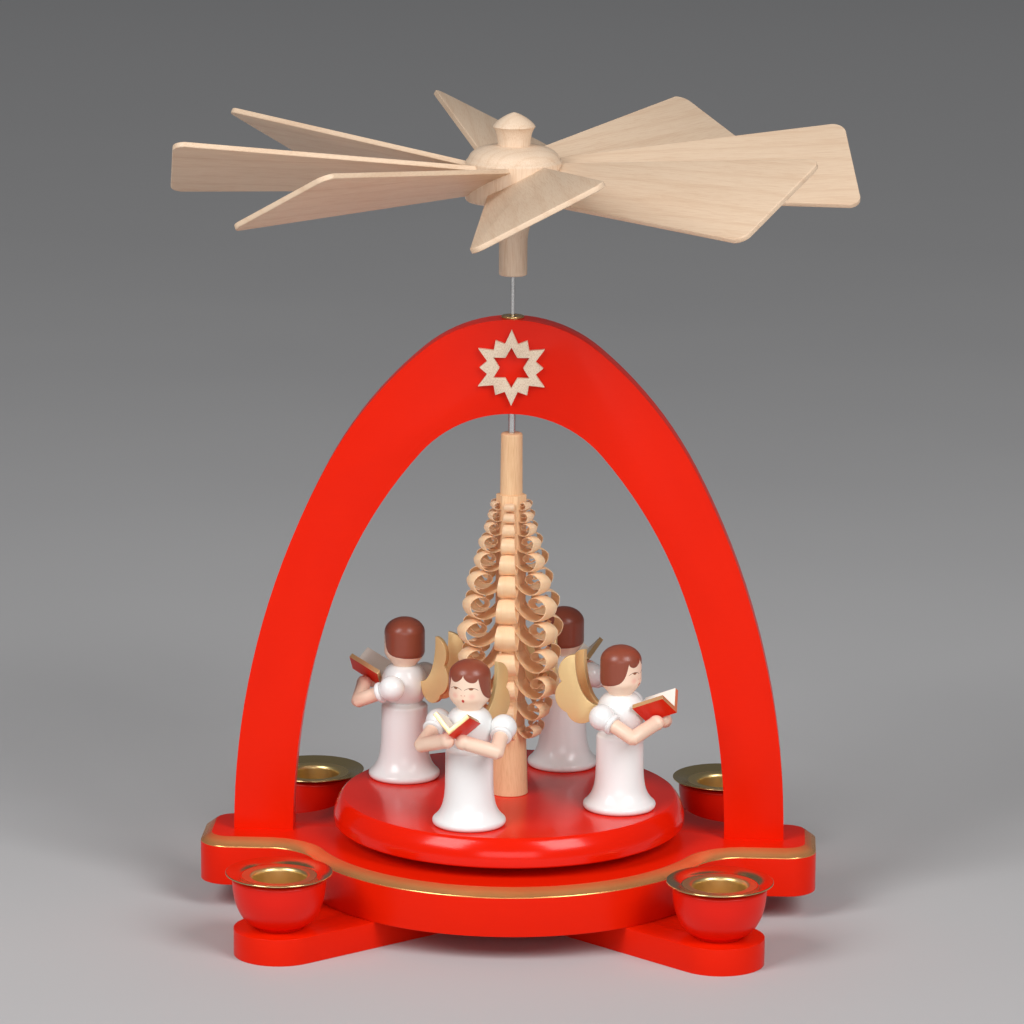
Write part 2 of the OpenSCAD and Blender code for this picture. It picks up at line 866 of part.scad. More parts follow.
hub_profile = let (
    flare_turn = asin(min(0.8, (stem_len - stem_straight) / stem_flare_r)),
    knob_low = hub_rim + hub_dome,
    knob_z = knob_low + knob_low_h,
    knob_hollow_w = (knob_r - knob_neck_r) / (1 - cos(knob_flare_turn)),
    knob_hollow_h = knob_low_h / sin(knob_flare_turn)
) concat(
    [[0, stem_bottom], [stem_r - stem_chamfer, stem_bottom], [stem_r, stem_bottom + stem_chamfer]],
    arc([stem_r + stem_flare_r, stem_bottom + stem_straight], stem_flare_r, 180, 180 - flare_turn),
    [[hub_r - 2 * hub_round, hub_bottom]],
    arc([hub_r - hub_round, hub_bottom + hub_round], hub_round, -60, 0, 3),
    arc([hub_r - hub_round, hub_rim - hub_round], hub_round, 0, 60, 3),
    ellipse_arc([knob_neck_r, hub_rim], hub_r - knob_neck_r - hub_shoulder, hub_dome, 8, 90),
    ellipse_arc([knob_neck_r + knob_hollow_w, knob_low], knob_hollow_w, knob_hollow_h,
        180 - knob_flare_from, 180 - knob_flare_turn, 5),
    [
        for (a = [10:10:90])
            [knob_r * pow(cos(a), knob_top_power), knob_z + knob_tip_h * pow(sin(a), knob_top_power)]
    ]
);

// A blade's outline, pointing along +X, wider by a gap all round where it is a slot
module blade_outline(gap = 0) {
    root = blade_root_w / 2 + gap;
    tip = blade_tip_w / 2 + gap;
    flank = atan2(tip - root, blade_tip_r - blade_seat_r);
    corner_in = blade_corner_r * tan((90 + flank) / 2);
    corner = [blade_tip_r - blade_corner_r, tip - corner_in];
    polygon(concat(
        [[blade_seat_r - gap, -root]],
        arc([corner.x, -corner.y], blade_corner_r, flank - 90, 0, 6),
        arc(corner, blade_corner_r, 0, 90 - flank, 6),
        [[blade_seat_r - gap, root]]
    ));
}

module set_blade(k, gap = 0) {
    rotate([0, 0, wheel_turn + 360 * (k - 1) / blades])
        translate([0, 0, blade_z])
            rotate([0, -blade_rise, 0])
                rotate([blade_pitch, 0, 0])
                    translate([0, 0, -blade_t / 2 - gap])
                        linear_extrude(blade_t + 2 * gap)
                            blade_outline(gap);
}

module rotor_hub() {
    color(pale_wood)
        difference() {
            rotate_extrude()
                polygon(hub_profile);
            translate([0, 0, stem_bottom - over])
                cylinder(r = rod_r + glue_gap, h = rod_in_hub + over + glue_gap);
            for (k = [1:blades])
                set_blade(k, glue_gap);
        }
}

module blade(k) {
    color(pale_wood)
        set_blade(k);
}

// Angels, each drawn facing +X with the origin under the robe, then set on the turntable

waist_groove = 1.1;
waist_r = skirt_r - waist_groove;
waist_band = 1.3;
bust_core = 3.5;
bust_z = skirt_h + bust_h / 2;
neck_z = skirt_h + bust_h;
shoulder_rise = 0.8;
shoulder_back = 1.5;
sleeve_seat = 1.1;
shoulder = [-shoulder_back, bust_r + puff_r - sleeve_seat, bust_z + shoulder_rise];
elbow = [elbow_fwd, elbow_out, shoulder.z - elbow_drop];
cuff_from = 3.5;
cuff_len = 1.8;
cuff_step = 1.15;
book_apart = 1.6;
book_below_neck = 8.8;
book_back = [bust_r + book_apart, 0, neck_z - book_below_neck];

// A point of the song book: distance along the spine, to the side and up from the spine
function book_point(out, side, up) = book_back + [
    out * cos(book_tilt) - up * sin(book_tilt), side, out * sin(book_tilt) + up * cos(book_tilt)
];

// How far along the spine the hands hold the book, and their gap at the spine
hand_share = 0.4;
hand_gap = 0.2;
hand_side = hand_r + hand_gap;
hand = book_point(hand_share * book_len, hand_side, hand_side - (hand_r + glue_gap) * sqrt(2));

module set_angel(k) {
    rotate([0, 0, angel_turns[k - 1]])
        translate([angel_ring_r, 0, table_top])
            children();
}

// The robe, wider by a gap where it cuts the seat of what is glued to it
module robe_form(gap = 0) {
    rim_turn = 55;
    rim_end = [robe_foot_r - robe_rim_r * (1 - cos(rim_turn)), robe_rim_r * (1 + sin(rim_turn))];
    flare = rim_end.x - skirt_r;
    falls = (skirt_h - waist_band - rim_end.y) / flare_fall;
    fall_steps = 8;
    fall_power = 2;
    rotate_extrude()
        polygon(concat(
            [[0, 0]],
            arc([robe_foot_r - robe_rim_r + gap, robe_rim_r], robe_rim_r, -90, rim_turn, 6),
            [
                for (i = [1:fall_steps - 1])
                    let (fall = falls * pow(i / fall_steps, fall_power))
                    [skirt_r + gap + flare * exp(-fall), rim_end.y + flare_fall * fall]
            ],
            arc([waist_r + gap, skirt_h - waist_band], waist_groove, 0, 80, 4),
            ellipse_arc([bust_core + gap, bust_z], bust_r - bust_core, bust_h / 2 / sin(75), -60, 75, 10),
            [[0, neck_z]]
        ));
}

module angel_robe(k) {
    color(white_paint)
        set_angel(k)
            robe_form();
}

module angel_head(k) {
    jaw_turn = acos(throat_r / head_r);
    color(skin_paint)
        set_angel(k)
            translate([0, 0, neck_z])
                rotate_extrude()
                    polygon(concat(
                        [[0, 0]],
                        ellipse_arc([0, jaw_h], head_r, jaw_h / sin(jaw_turn), -jaw_turn, 0),
                        ellipse_arc([0, head_h - crown_h], head_r, crown_h, 0, 90, 12)
                    ));
}

// Turns a frame whose Z runs through the mitre and whose X lies in the bend to the arm's elbow
module at_elbow(upper, fore) {
    z = (upper + fore) / norm(upper + fore);
    x = (fore - upper) / norm(fore - upper);
    y = cross(z, x);
    multmatrix([
        [x.x, y.x, z.x, elbow.x],
        [x.y, y.y, z.y, elbow.y],
        [x.z, y.z, z.z, elbow.z]
    ])
        children();
}

// One limb of the arm, from the mitre plane along +Z leaning towards +X by half the bend
module limb(half_bend, length) {
    intersection() {
        rotate([0, half_bend, 0])
            translate([0, 0, -2 * arm_r])
                cylinder(r = arm_r, h = length + 2 * arm_r);
        translate([-length, -length, 0])
            cube(2 * length);
    }
}

// A left arm: puffed sleeve with cuff, upper arm, mitred elbow, forearm and hand
module arm_form() {
    upper_len = norm(elbow - shoulder);
    fore_len = norm(hand - elbow);
    upper = (elbow - shoulder) / upper_len;
    fore = (hand - elbow) / fore_len;
    half_bend = acos(upper * fore) / 2;
    difference() {
        at_elbow(upper, fore) {
            limb(half_bend, fore_len);
            rotate([0, half_bend, 0])
                translate([0, 0, fore_len])
                    sphere(r = hand_r);
            mirror([0, 0, 1]) {
                limb(half_bend, upper_len);
                rotate([0, half_bend, 0]) {
                    translate([0, 0, upper_len - cuff_from - cuff_len])
                        cylinder(r = arm_r + cuff_step, h = cuff_len);
                    translate([0, 0, upper_len])
                        sphere(r = puff_r);
                }
            }
        }
        robe_form(glue_gap);
    }
}

module angel_arm_left(k) {
    color(white_paint)
        set_angel(k)
            arm_form();
}

module angel_arm_right(k) {
    color(white_paint)
        set_angel(k)
            mirror([0, 1, 0])
                arm_form();
}

// Two leaves of the song book, open at a right angle
module angel_book(k) {
    color(book_paint)
        set_angel(k)
            translate(book_back)
                rotate([0, -book_tilt, 0])
                    rotate([90, 0, 90])
                        linear_extrude(book_len)
                            rotate(45)
                                difference() {
                                    square(leaf_w);
                                    translate([leaf_t, leaf_t])
                                        square(leaf_w);
                                }
}

// The wing's three scallops, from the lowest up: place and radius
wing_scallops = [[[5.8, -1], 5], [[8.3, 3.5], 6.3], [[7.7, 11.7], 5.9]];
// The hollow in the wing's front edge, part of an ellipse
wing_hollow_at = [0.1, 16];
wing_hollow_size = [7.9, 15.5];
// Where the root's lower edge runs into the lowest scallop
wing_root_turn = 200;
wing_apart = 0.5;
wing_in_back = 0.6;

// A wing from the side, its root at the origin, +X away from the body
module wing_outline() {
    low = wing_scallops[0];
    root = [0, wing_hollow_at.y - wing_hollow_size.y];
    difference() {
        union() {
            for (scallop = wing_scallops)
                translate(scallop[0])
                    circle(r = scallop[1]);
            polygon([
                root, low[0] + low[1] * [cos(wing_root_turn), sin(wing_root_turn)], low[0],
                wing_scallops[1][0], wing_scallops[2][0]
            ]);
        }
        polygon(concat(
            ellipse_arc(wing_hollow_at, wing_hollow_size.x, wing_hollow_size.y, -100, 20, 14),
            [[-over, wing_hollow_at.y + wing_hollow_size.y]]
        ));
    }
}

module wing_form(side) {
    root_side = wing_t / 2 + wing_apart;
    difference() {
        translate([wing_in_back - bust_r, side * root_side, skirt_h + wing_up])
            rotate([0, 0, 180 - side * wing_splay])
                translate([0, wing_t / 2, 0])
                    rotate([90, 0, 0])
                        linear_extrude(wing_t)
                            wing_outline();
        robe_form(glue_gap);
    }
}

module angel_wing_left(k) {
    color(gold_paint)
        set_angel(k)
            wing_form(1);
}

module angel_wing_right(k) {
    color(gold_paint)
        set_angel(k)
            wing_form(-1);
}

cross_bar_lower();
cross_bar_upper();
base_screws();
base_plate();
bearing_cup();
arch();
arch_dowels();
star();
arch_bush();
bowl_dowels();
for (k = [1:4]) {
    candle_bowl(k);
    candle_cup(k);
}
turntable();
pivot_pin();
curl_tree();
drive_tube();
rotor_rod();
rotor_hub();
for (k = [1:blades])
    blade(k);
for (k = [1:angels]) {
    angel_robe(k);
    angel_head(k);
    angel_arm_left(k);
    angel_arm_right(k);
    angel_book(k);
    angel_wing_left(k);
    angel_wing_right(k);
}
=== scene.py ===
import math
from functools import partialmethod

import bmesh
import bpy
from mathutils import Matrix, Vector


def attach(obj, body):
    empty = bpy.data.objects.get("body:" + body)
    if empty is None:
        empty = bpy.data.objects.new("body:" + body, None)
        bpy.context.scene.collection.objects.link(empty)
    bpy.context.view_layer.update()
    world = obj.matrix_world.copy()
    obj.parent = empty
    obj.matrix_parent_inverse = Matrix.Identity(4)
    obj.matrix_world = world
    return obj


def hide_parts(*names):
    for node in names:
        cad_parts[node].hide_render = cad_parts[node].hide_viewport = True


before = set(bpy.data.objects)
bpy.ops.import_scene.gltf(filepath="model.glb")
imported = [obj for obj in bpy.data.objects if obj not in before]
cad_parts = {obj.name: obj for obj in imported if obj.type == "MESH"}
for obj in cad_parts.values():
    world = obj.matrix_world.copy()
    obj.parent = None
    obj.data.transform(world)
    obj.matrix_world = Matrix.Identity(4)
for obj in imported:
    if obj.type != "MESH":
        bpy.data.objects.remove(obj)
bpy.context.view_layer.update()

# Sizes are in millimetres, as on the drawing of the part, and meshes are made in metres.
MM = 0.001
ROUND = 96

# Heights and places that the pieces share
bar_t = 9
base_top = 25
table_top = 38.4
arch_crown = 201.6
candle_places = [(-72, -64), (72, -64), (72, 64), (-72, 64)]
angel_turns = [-106, -23, 66, 154]
angel_ring_r = 41


# Values in node trees


class Field:
    """A value in a node tree. Arithmetic on it adds Math nodes."""

    def __init__(self, tree, socket):
        self.tree = tree
        self.socket = socket

    def math(self, operation, *others):
        node = self.tree.nodes.new("ShaderNodeMath")
        node.operation = operation
        for slot, value in zip(node.inputs, (self, *others)):
            feed(self.tree, slot, value)
        return Field(self.tree, node.outputs[0])

    __add__ = __radd__ = partialmethod(math, "ADD")
    __sub__ = partialmethod(math, "SUBTRACT")
    __mul__ = __rmul__ = partialmethod(math, "MULTIPLY")
    __truediv__ = partialmethod(math, "DIVIDE")
    __pow__ = partialmethod(math, "POWER")
    abs = partialmethod(math, "ABSOLUTE")
    sin = partialmethod(math, "SINE")
    cos = partialmethod(math, "COSINE")
    sqrt = partialmethod(math, "SQRT")
    floor = partialmethod(math, "FLOOR")
    modulo = partialmethod(math, "MODULO")
    min = partialmethod(math, "MINIMUM")
    max = partialmethod(math, "MAXIMUM")
    above = partialmethod(math, "GREATER_THAN")
    angle_to = partialmethod(math, "ARCTAN2")

    def __rsub__(self, other):
        return self * -1 + other

    def __rtruediv__(self, other):
        return self ** -1.0 * other

    def ramp(self, low, high, start=0.0, end=1.0):
        """Smooth step from start to end as the value goes from low to high."""
        node = self.tree.nodes.new("ShaderNodeMapRange")
        node.interpolation_type = "SMOOTHSTEP"
        for slot, value in zip(node.inputs, (self, low, high, start, end)):
            feed(self.tree, slot, value)
        return Field(self.tree, node.outputs[0])


def feed(tree, slot, value):
    """Links a field or a socket to an input, or sets the input's own value."""
    if isinstance(value, Field):
        tree.links.new(value.socket, slot)
    elif isinstance(value, bpy.types.NodeSocket):
        tree.links.new(value, slot)
    else:
        slot.default_value = value


def add_node(tree, kind, settings=(), **inputs):
    """Adds a node, with its settings and with its inputs named as words joined by underscores."""
    node = tree.nodes.new(kind)
    for key, value in dict(settings).items():
        setattr(node, key, value)
    for key, value in inputs.items():
        feed(tree, node.inputs[key.replace("_", " ")], value)
    return node


def split(tree, vector):
    node = add_node(tree, "ShaderNodeSeparateXYZ")
    tree.links.new(vector, node.inputs[0])
    return [Field(tree, out) for out in node.outputs]


def join(tree, x, y, z):
    node = add_node(tree, "ShaderNodeCombineXYZ", X=x, Y=y, Z=z)
    return node.outputs[0]


def noise(tree, vector, scale, detail=2.0, roughness=0.5):
    node = add_node(tree, "ShaderNodeTexNoise", Vector=vector, Scale=scale, Detail=detail, Roughness=roughness)
    return Field(tree, node.outputs[0])


def blend(tree, share, first, second):
    """Mixes two colours by a share."""
    node = add_node(tree, "ShaderNodeMix", {"data_type": "RGBA"})
    feed(tree, node.inputs[0], share)
    feed(tree, node.inputs[6], first)
    feed(tree, node.inputs[7], second)
    return node.outputs[2]


def paint_value(red, green, blue):
    """Linear colour of a screen colour, given in 0 to 255."""
    def linear(c):
        c /= 255
        return c / 12.92 if c <= 0.04045 else ((c + 0.055) / 1.055) ** 2.4
    return linear(red), linear(green), linear(blue), 1.0


def new_group(name, inputs, outputs):
    """A shader node group with named inputs and outputs. Gives the tree, its input sockets and its output node."""
    tree = bpy.data.node_groups.new(name, "ShaderNodeTree")
    kinds = {"value": "NodeSocketFloat", "colour": "NodeSocketColor", "vector": "NodeSocketVector"}
    for label, kind in inputs:
        tree.interface.new_socket(label, in_out="INPUT", socket_type=kinds[kind])
    for label, kind in outputs:
        tree.interface.new_socket(label, in_out="OUTPUT", socket_type=kinds[kind])
    source = tree.nodes.new("NodeGroupInput")
    target = tree.nodes.new("NodeGroupOutput")
    return tree, {s.name: s for s in source.outputs if s.name}, target


# Effects that several finishes share


def make_grain_group():
    """Wood with its grain along X: growth bands, fine pores and a soft cloud of colour."""
    tree, given, out = new_group(
        "wood_grain",
        [("Place", "vector"), ("Pale", "colour"), ("Dark", "colour"), ("Band Width", "value"),
         ("Band Strength", "value"), ("Pore Strength", "value")],
        [("Colour", "colour"), ("Height", "value"), ("Roughness", "value")])
    x, y, z = split(tree, given["Place"])
    width = Field(tree, given["Band Width"])
    warp = noise(tree, join(tree, x * 0.012, y * 0.05, z * 0.05), 1.0, 2.0)
    lean = noise(tree, join(tree, x * 0.05, y * 0.3, z * 0.3), 1.0, 3.0)
    bands = ((y + z * 0.6) / width + warp * 9.0 + lean * 1.2).sin() * 0.5 + 0.5
    bands = bands ** 8.0
    pores = noise(tree, join(tree, x * 0.16, y * 5.0, z * 5.0), 1.0, 3.0, 0.6)
    pore_mask = pores.ramp(0.42, 0.7)
    cloud = noise(tree, join(tree, x * 0.02, y * 0.12, z * 0.12), 1.0, 2.0)
    share = bands * Field(tree, given["Band Strength"]) + pore_mask * Field(tree, given["Pore Strength"])
    share = share + (cloud - 0.5) * 0.5
    feed(tree, out.inputs["Colour"], blend(tree, share.max(0.0).min(1.0), given["Pale"], given["Dark"]))
    feed(tree, out.inputs["Height"], pores * 0.6 + bands * 0.3)
    feed(tree, out.inputs["Roughness"], pore_mask * 0.12 + 0.46)
    return tree


def make_paint_group():
    """Brushed or sprayed paint on wood: faint mottling, a soft skin and the grain that shows through."""
    tree, given, out = new_group(
        "paint_skin",
        [("Place", "vector"), ("Colour", "colour"), ("Thin Colour", "colour"), ("Mottle", "value"), ("Gloss", "value")],
        [("Colour", "colour"), ("Height", "value"), ("Roughness", "value")])
    x, y, z = split(tree, given["Place"])
    skin = noise(tree, given["Place"], 0.9, 3.0)
    fibres = noise(tree, join(tree, x * 0.06, y * 1.6, z * 1.6), 1.0, 3.0, 0.6)
    cloud = noise(tree, given["Place"], 0.05, 3.0)
    share = (cloud - 0.35) * Field(tree, given["Mottle"]) + (fibres - 0.5) * Field(tree, given["Mottle"]) * 0.4
    feed(tree, out.inputs["Colour"], blend(tree, share.max(0.0).min(1.0), given["Colour"], given["Thin Colour"]))
    feed(tree, out.inputs["Height"], skin * 0.5 + fibres * 0.5)
    feed(tree, out.inputs["Roughness"], Field(tree, given["Gloss"]) + (cloud - 0.5) * 0.08 + (skin - 0.5) * 0.05)
    return tree


def make_metal_group():
    """Metal that has been handled: drawn lines round the axis, clouds of tarnish and small specks."""
    tree, given, out = new_group(
        "worn_metal",
        [("Place", "vector"), ("Bright", "colour"), ("Dull", "colour"), ("Tarnish", "value"), ("Gloss", "value")],
        [("Colour", "colour"), ("Height", "value"), ("Roughness", "value")])
    x, y, z = split(tree, given["Place"])
    reach = (x * x + y * y).sqrt()
    lines = noise(tree, join(tree, reach * 6.0, z * 6.0, 0.0), 1.0, 2.0)
    cloud = noise(tree, given["Place"], 0.14, 4.0, 0.6)
    specks = noise(tree, given["Place"], 1.4, 2.0).ramp(0.66, 0.74)
    share = (cloud.ramp(0.45, 0.75) * 0.6 + specks * 0.5) * Field(tree, given["Tarnish"])
    feed(tree, out.inputs["Colour"], blend(tree, share.min(1.0), given["Bright"], given["Dull"]))
    feed(tree, out.inputs["Height"], lines)
    feed(tree, out.inputs["Roughness"], Field(tree, given["Gloss"]) + share * 0.25 + (lines - 0.5) * 0.06)
    return tree


grain_group = make_grain_group()
paint_group = make_paint_group()
metal_group = make_metal_group()


# Finishes


def new_material(name):
    material = bpy.data.materials.new(name)
    material.use_nodes = True
    tree = material.node_tree
    return material, tree, tree.nodes["Principled BSDF"]


def place_of(tree, attribute=None):
    """Coordinates in millimetres: the object's own, or those kept on the mesh."""
    if attribute:
        return add_node(tree, "ShaderNodeAttribute", {"attribute_name": attribute}).outputs["Vector"]
    coords = add_node(tree, "ShaderNodeTexCoord").outputs["Object"]
    return add_node(tree, "ShaderNodeMapping", Vector=coords, Scale=(1 / MM, 1 / MM, 1 / MM)).outputs[0]


def set_group(tree, group, **inputs):
    node = tree.nodes.new("ShaderNodeGroup")
    node.node_tree = group
    for key, value in inputs.items():
        feed(tree, node.inputs[key.replace("_", " ")], value)
    return node


def dress(tree, shader, group_node, depth):
    """Takes colour, roughness and a bump of the given depth from a group to the shader."""
    tree.links.new(group_node.outputs["Colour"], shader.inputs["Base Color"])
    tree.links.new(group_node.outputs["Roughness"], shader.inputs["Roughness"])
    bump = add_node(tree, "ShaderNodeBump", Strength=1.0, Distance=depth * MM)
    tree.links.new(group_node.outputs["Height"], bump.inputs["Height"])
    tree.links.new(bump.outputs[0], shader.inputs["Normal"])


def round_axis(tree, place):
    """Coordinates on a turned piece: a little round the axis, then out from it and along it."""
    x, y, z = split(tree, place)
    reach = (x * x + y * y).sqrt()
    return join(tree, x / reach.max(0.01) * 8.0, reach, z)


def painted(name, colour, thin_and_painted_reflection, mottle, gloss, depth, metallic=0.0, specular=0.5, attribute=None, turned=False):
    """Paint in two screen colours, the second where the paint lies thinner."""
    material, tree, shader = new_material(name)
    place = place_of(tree, attribute)
    if turned:
        place = round_axis(tree, place)
    skin = set_group(tree, paint_group, Place=place, Colour=paint_value(*colour), Thin_Colour=paint_value(*thin_and_painted_reflection),
                     Mottle=mottle, Gloss=gloss)
    dress(tree, shader, skin, depth)
    shader.inputs["Specular IOR Level"].default_value = specular
    shader.inputs["Metallic"].default_value = metallic
    return material


def wooden(name, pale, dark, band_width, bands, pores, depth, attribute=None, turn=None, inside=None, stretch=1.0):
    """Bare wood in two screen colours. A shaving has a third inside its roll and a pattern of its own."""
    material, tree, shader = new_material(name)
    place = place_of(tree, attribute)
    if turn:
        place = add_node(tree, "ShaderNodeMapping", Vector=place, Rotation=turn).outputs[0]
        place = add_node(tree, "ShaderNodeMapping", Vector=place, Scale=(stretch, 1, 1)).outputs[0]
    if inside:
        number = add_node(tree, "ShaderNodeAttribute", {"attribute_name": "copy_number"}).outputs["Fac"]
        x, y, z = split(tree, place)
        place = join(tree, x + Field(tree, number) * 37.0, y + Field(tree, number) * 11.0, z)
    grain = set_group(tree, grain_group, Place=place, Pale=paint_value(*pale), Dark=paint_value(*dark),
                      Band_Width=band_width, Band_Strength=bands, Pore_Strength=pores)
    dress(tree, shader, grain, depth)
    if inside:
        colour = blend(tree, z * 0.5, grain.outputs["Colour"], paint_value(*inside))
        tree.links.new(colour, shader.inputs["Base Color"])
    shader.inputs["Specular IOR Level"].default_value = 0.35
    return material


def metal(name, bright, dull, tarnish, gloss, depth, attribute=None):
    material, tree, shader = new_material(name)
    worn = set_group(tree, metal_group, Place=place_of(tree, attribute), Bright=bright, Dull=dull, Tarnish=tarnish,
                     Gloss=gloss)
    dress(tree, shader, worn, depth)
    shader.inputs["Metallic"].default_value = 1.0
    return material


upright = (0.0, math.radians(90), 0.0)
red_lacquer = painted("red_lacquer", (231, 32, 4), (222, 26, 4), 0.9, 0.3, 0.010, specular=0.12)
red_turned = painted("red_lacquer_turned", (232, 30, 4), (223, 24, 4), 0.9, 0.17, 0.010,
                     specular=0.3, attribute="own_place", turned=True)
red_bowl = painted("red_lacquer_bowl", (232, 26, 4), (222, 20, 4), 0.9, 0.33, 0.014,
                   specular=0.3, attribute="own_place", turned=True)
white_paint = painted("white_robe_paint", (239, 240, 239), (233, 233, 231), 0.8, 0.22, 0.008)
skin_paint = painted("skin_paint", (245, 213, 190), (239, 200, 175), 1.0, 0.38, 0.01)
gold_wing = painted("gold_wing_paint", (238, 205, 148), (229, 192, 132), 1.0, 0.4, 0.01, metallic=0.45)
book_red = painted("book_cover_paint", (236, 48, 20), (224, 40, 16), 1.0, 0.36, 0.015, specular=0.25)
book_gold = painted("book_edge_paint", (226, 186, 136), (210, 166, 112), 1.0, 0.32, 0.01, metallic=0.6)
page_white = painted("page_paint", (246, 240, 230), (238, 228, 210), 1.0, 0.55, 0.015)
blade_wood = wooden("blade_wood", (228, 201, 173), (200, 160, 126), 1.3, 0.2, 0.4, 0.02, attribute="grain")
hub_wood = wooden("hub_wood", (230, 206, 181), (204, 166, 130), 0.7, 0.2, 0.55, 0.02, turn=upright)
star_wood = wooden("star_wood", (241, 221, 197), (192, 154, 122), 6.0, 0.1, 0.75, 0.02, turn=upright, stretch=10.0)
dowel_wood = wooden("dowel_wood", (226, 200, 165), (190, 152, 108), 1.2, 0.4, 0.5, 0.03, turn=upright)
trunk_wood = wooden("lime_trunk_wood", (240, 200, 156), (216, 164, 118), 0.9, 0.2, 0.5, 0.02, turn=upright)
curl_wood = wooden("lime_shaving_wood", (255, 210, 169), (250, 191, 147), 1.0, 0.2, 0.45, 0.01,
                   attribute="grain", inside=(255, 206, 158))
curl_shader = curl_wood.node_tree.nodes["Principled BSDF"].inputs
curl_shader["Subsurface Weight"].default_value = 0.6
curl_shader["Subsurface Radius"].default_value = (1.0, 1.0, 1.0)
curl_shader["Subsurface Scale"].default_value = 0.7 * MM
curl_shader["Coat Weight"].default_value = 0.3
curl_shader["Coat Roughness"].default_value = 0.28
brass = metal("brass", (0.84, 0.64, 0.32, 1), (0.56, 0.40, 0.18, 1), 0.3, 0.17, 0.002, attribute="own_place")
# Satin brass for the lip and inside of the cups: rougher than the polished brass, and its colour painted lighter to
# stand in for light inside the cup.
satin_brass_painted_lighter = metal("brass_satin_painted_lighter", (0.90, 0.68, 0.32, 1), (0.62, 0.42, 0.18, 1), 0.35, 0.36, 0.004,
                    attribute="own_place")
plain_brass = metal("brass_fitting", (0.78, 0.56, 0.24, 1), (0.42, 0.27, 0.10, 1), 0.4, 0.24, 0.004)
steel = metal("drawn_steel", (0.66, 0.65, 0.64, 1), (0.36, 0.35, 0.34, 1), 0.4, 0.24, 0.004)


def make_gold_edge():
    """Gold bronze rubbed on the rounded edge of the base, with a painted reflection of the red turntable that is
    stronger towards the top.
    """
    material, tree, shader = new_material("gold_edge_paint")
    place = place_of(tree)
    skin = set_group(tree, paint_group, Place=place, Colour=paint_value(251, 180, 112),
                     Thin_Colour=paint_value(232, 144, 83), Mottle=1.4, Gloss=0.24)
    dress(tree, shader, skin, 0.006)
    # Painted reflection: the red of the turntable is blended into the gold more towards the top of the edge, where the
    # paint is also made less metallic.
    thin_and_painted_reflection = split(tree, place)[2].ramp(base_top - 2.6, base_top - 0.2)
    colour = blend(tree, thin_and_painted_reflection * 0.75, skin.outputs["Colour"], paint_value(206, 62, 26))
    tree.links.new(colour, shader.inputs["Base Color"])
    feed(tree, shader.inputs["Metallic"], 0.75 - thin_and_painted_reflection * 0.45)
    return material


def make_face_paint():
    """Skin, glossy hair and small painted features, laid out on the head by arc length and height over the chin."""
    material, tree, shader = new_material("head_paint")
    place = place_of(tree, "own_place")
    x, y, z = split(tree, place)
    side = y.angle_to(x)
    across = side * head_r
    height = z - neck_z
    turn = side.abs() / math.radians(lobe_turn)
    fringe = 12.9 - turn * 1.1 - (turn.min(1.0) * math.pi).sin().abs() ** 0.45 * 2.1
    swept = 2.9 + 8.4 / (1.0 + ((turn - 1.0).max(0.0) * (lobe_turn / 11)) ** 1.3)
    past_lobe = turn.above(1.0)
    hairline = past_lobe * swept + (1.0 - past_lobe) * fringe
    wander = noise(tree, place, 0.5, 2.0)
    hair = (height - hairline + (wander - 0.5) * 0.25).ramp(-0.06, 0.06)

    def spot(at, up, wide, tall, soft):
        """An oval at a distance out on both sides and up from the chin, with a soft rim."""
        du = (across.abs() - at) / wide
        dv = (height - up) / tall
        return (du * du + dv * dv).sqrt().ramp(1.0 - soft, 1.0, 1.0, 0.0)

    # Lashes are thin arcs with a half moon of brown under the middle
    out = across.abs() - 2.8
    lash_height = 8.5 - out * out * 0.15
    lash = (height - lash_height).abs().ramp(0.05, 0.13, 1.0, 0.0) * out.abs().ramp(2.1, 2.6, 1.0, 0.0)
    iris = spot(2.75, 8.35, 0.95, 0.7, 0.3) * (lash_height - height).ramp(-0.02, 0.05)
    nostril = spot(0.6, 5.85, 0.24, 0.2, 0.5)
    mouth = spot(0.0, 3.95, 0.55, 0.62, 0.25)
    mouth_dark = spot(0.0, 3.85, 0.24, 0.28, 0.5)
    cheek = spot(3.0, 5.6, 1.8, 1.6, 0.95)
    blush = spot(0.0, 5.4, 1.0, 1.4, 1.0)

    skin = set_group(tree, paint_group, Place=place, Colour=paint_value(250, 220, 197),
                     Thin_Colour=paint_value(246, 209, 185), Mottle=1.0, Gloss=0.36)
    colour = blend(tree, cheek * 0.42, skin.outputs["Colour"], paint_value(244, 152, 136))
    colour = blend(tree, blush * 0.25, colour, paint_value(244, 176, 150))
    colour = blend(tree, nostril, colour, paint_value(206, 124, 98))
    colour = blend(tree, mouth, colour, paint_value(206, 52, 40))
    colour = blend(tree, mouth_dark * 0.6, colour, paint_value(150, 22, 22))
    colour = blend(tree, iris, colour, paint_value(146, 84, 52))
    colour = blend(tree, lash, colour, paint_value(112, 70, 44))
    strands = noise(tree, join(tree, across * 2.2, height * 0.15, 0.0), 1.0, 3.0)
    hair_tone = blend(tree, strands, paint_value(145, 75, 56), paint_value(137, 68, 49))
    colour = blend(tree, hair, colour, hair_tone)
    tree.links.new(colour, shader.inputs["Base Color"])
    feed(tree, shader.inputs["Roughness"], 0.38 - hair * 0.05)
    bump = add_node(tree, "ShaderNodeBump", Strength=1.0, Distance=0.1 * MM)
    feed(tree, bump.inputs["Height"], hair)
    tree.links.new(bump.outputs[0], shader.inputs["Normal"])
    return material


# Meshes


def arc(cx, cz, r, start, end, steps=8, rz=None):
    """Points on an arc, or on part of an ellipse where rz is given, from one angle to another in degrees."""
    rz = r if rz is None else rz
    points = []
    for i in range(steps + 1):
        a = math.radians(start + (end - start) * i / steps)
        points.append((cx + r * math.cos(a), cz + rz * math.sin(a)))
    return points


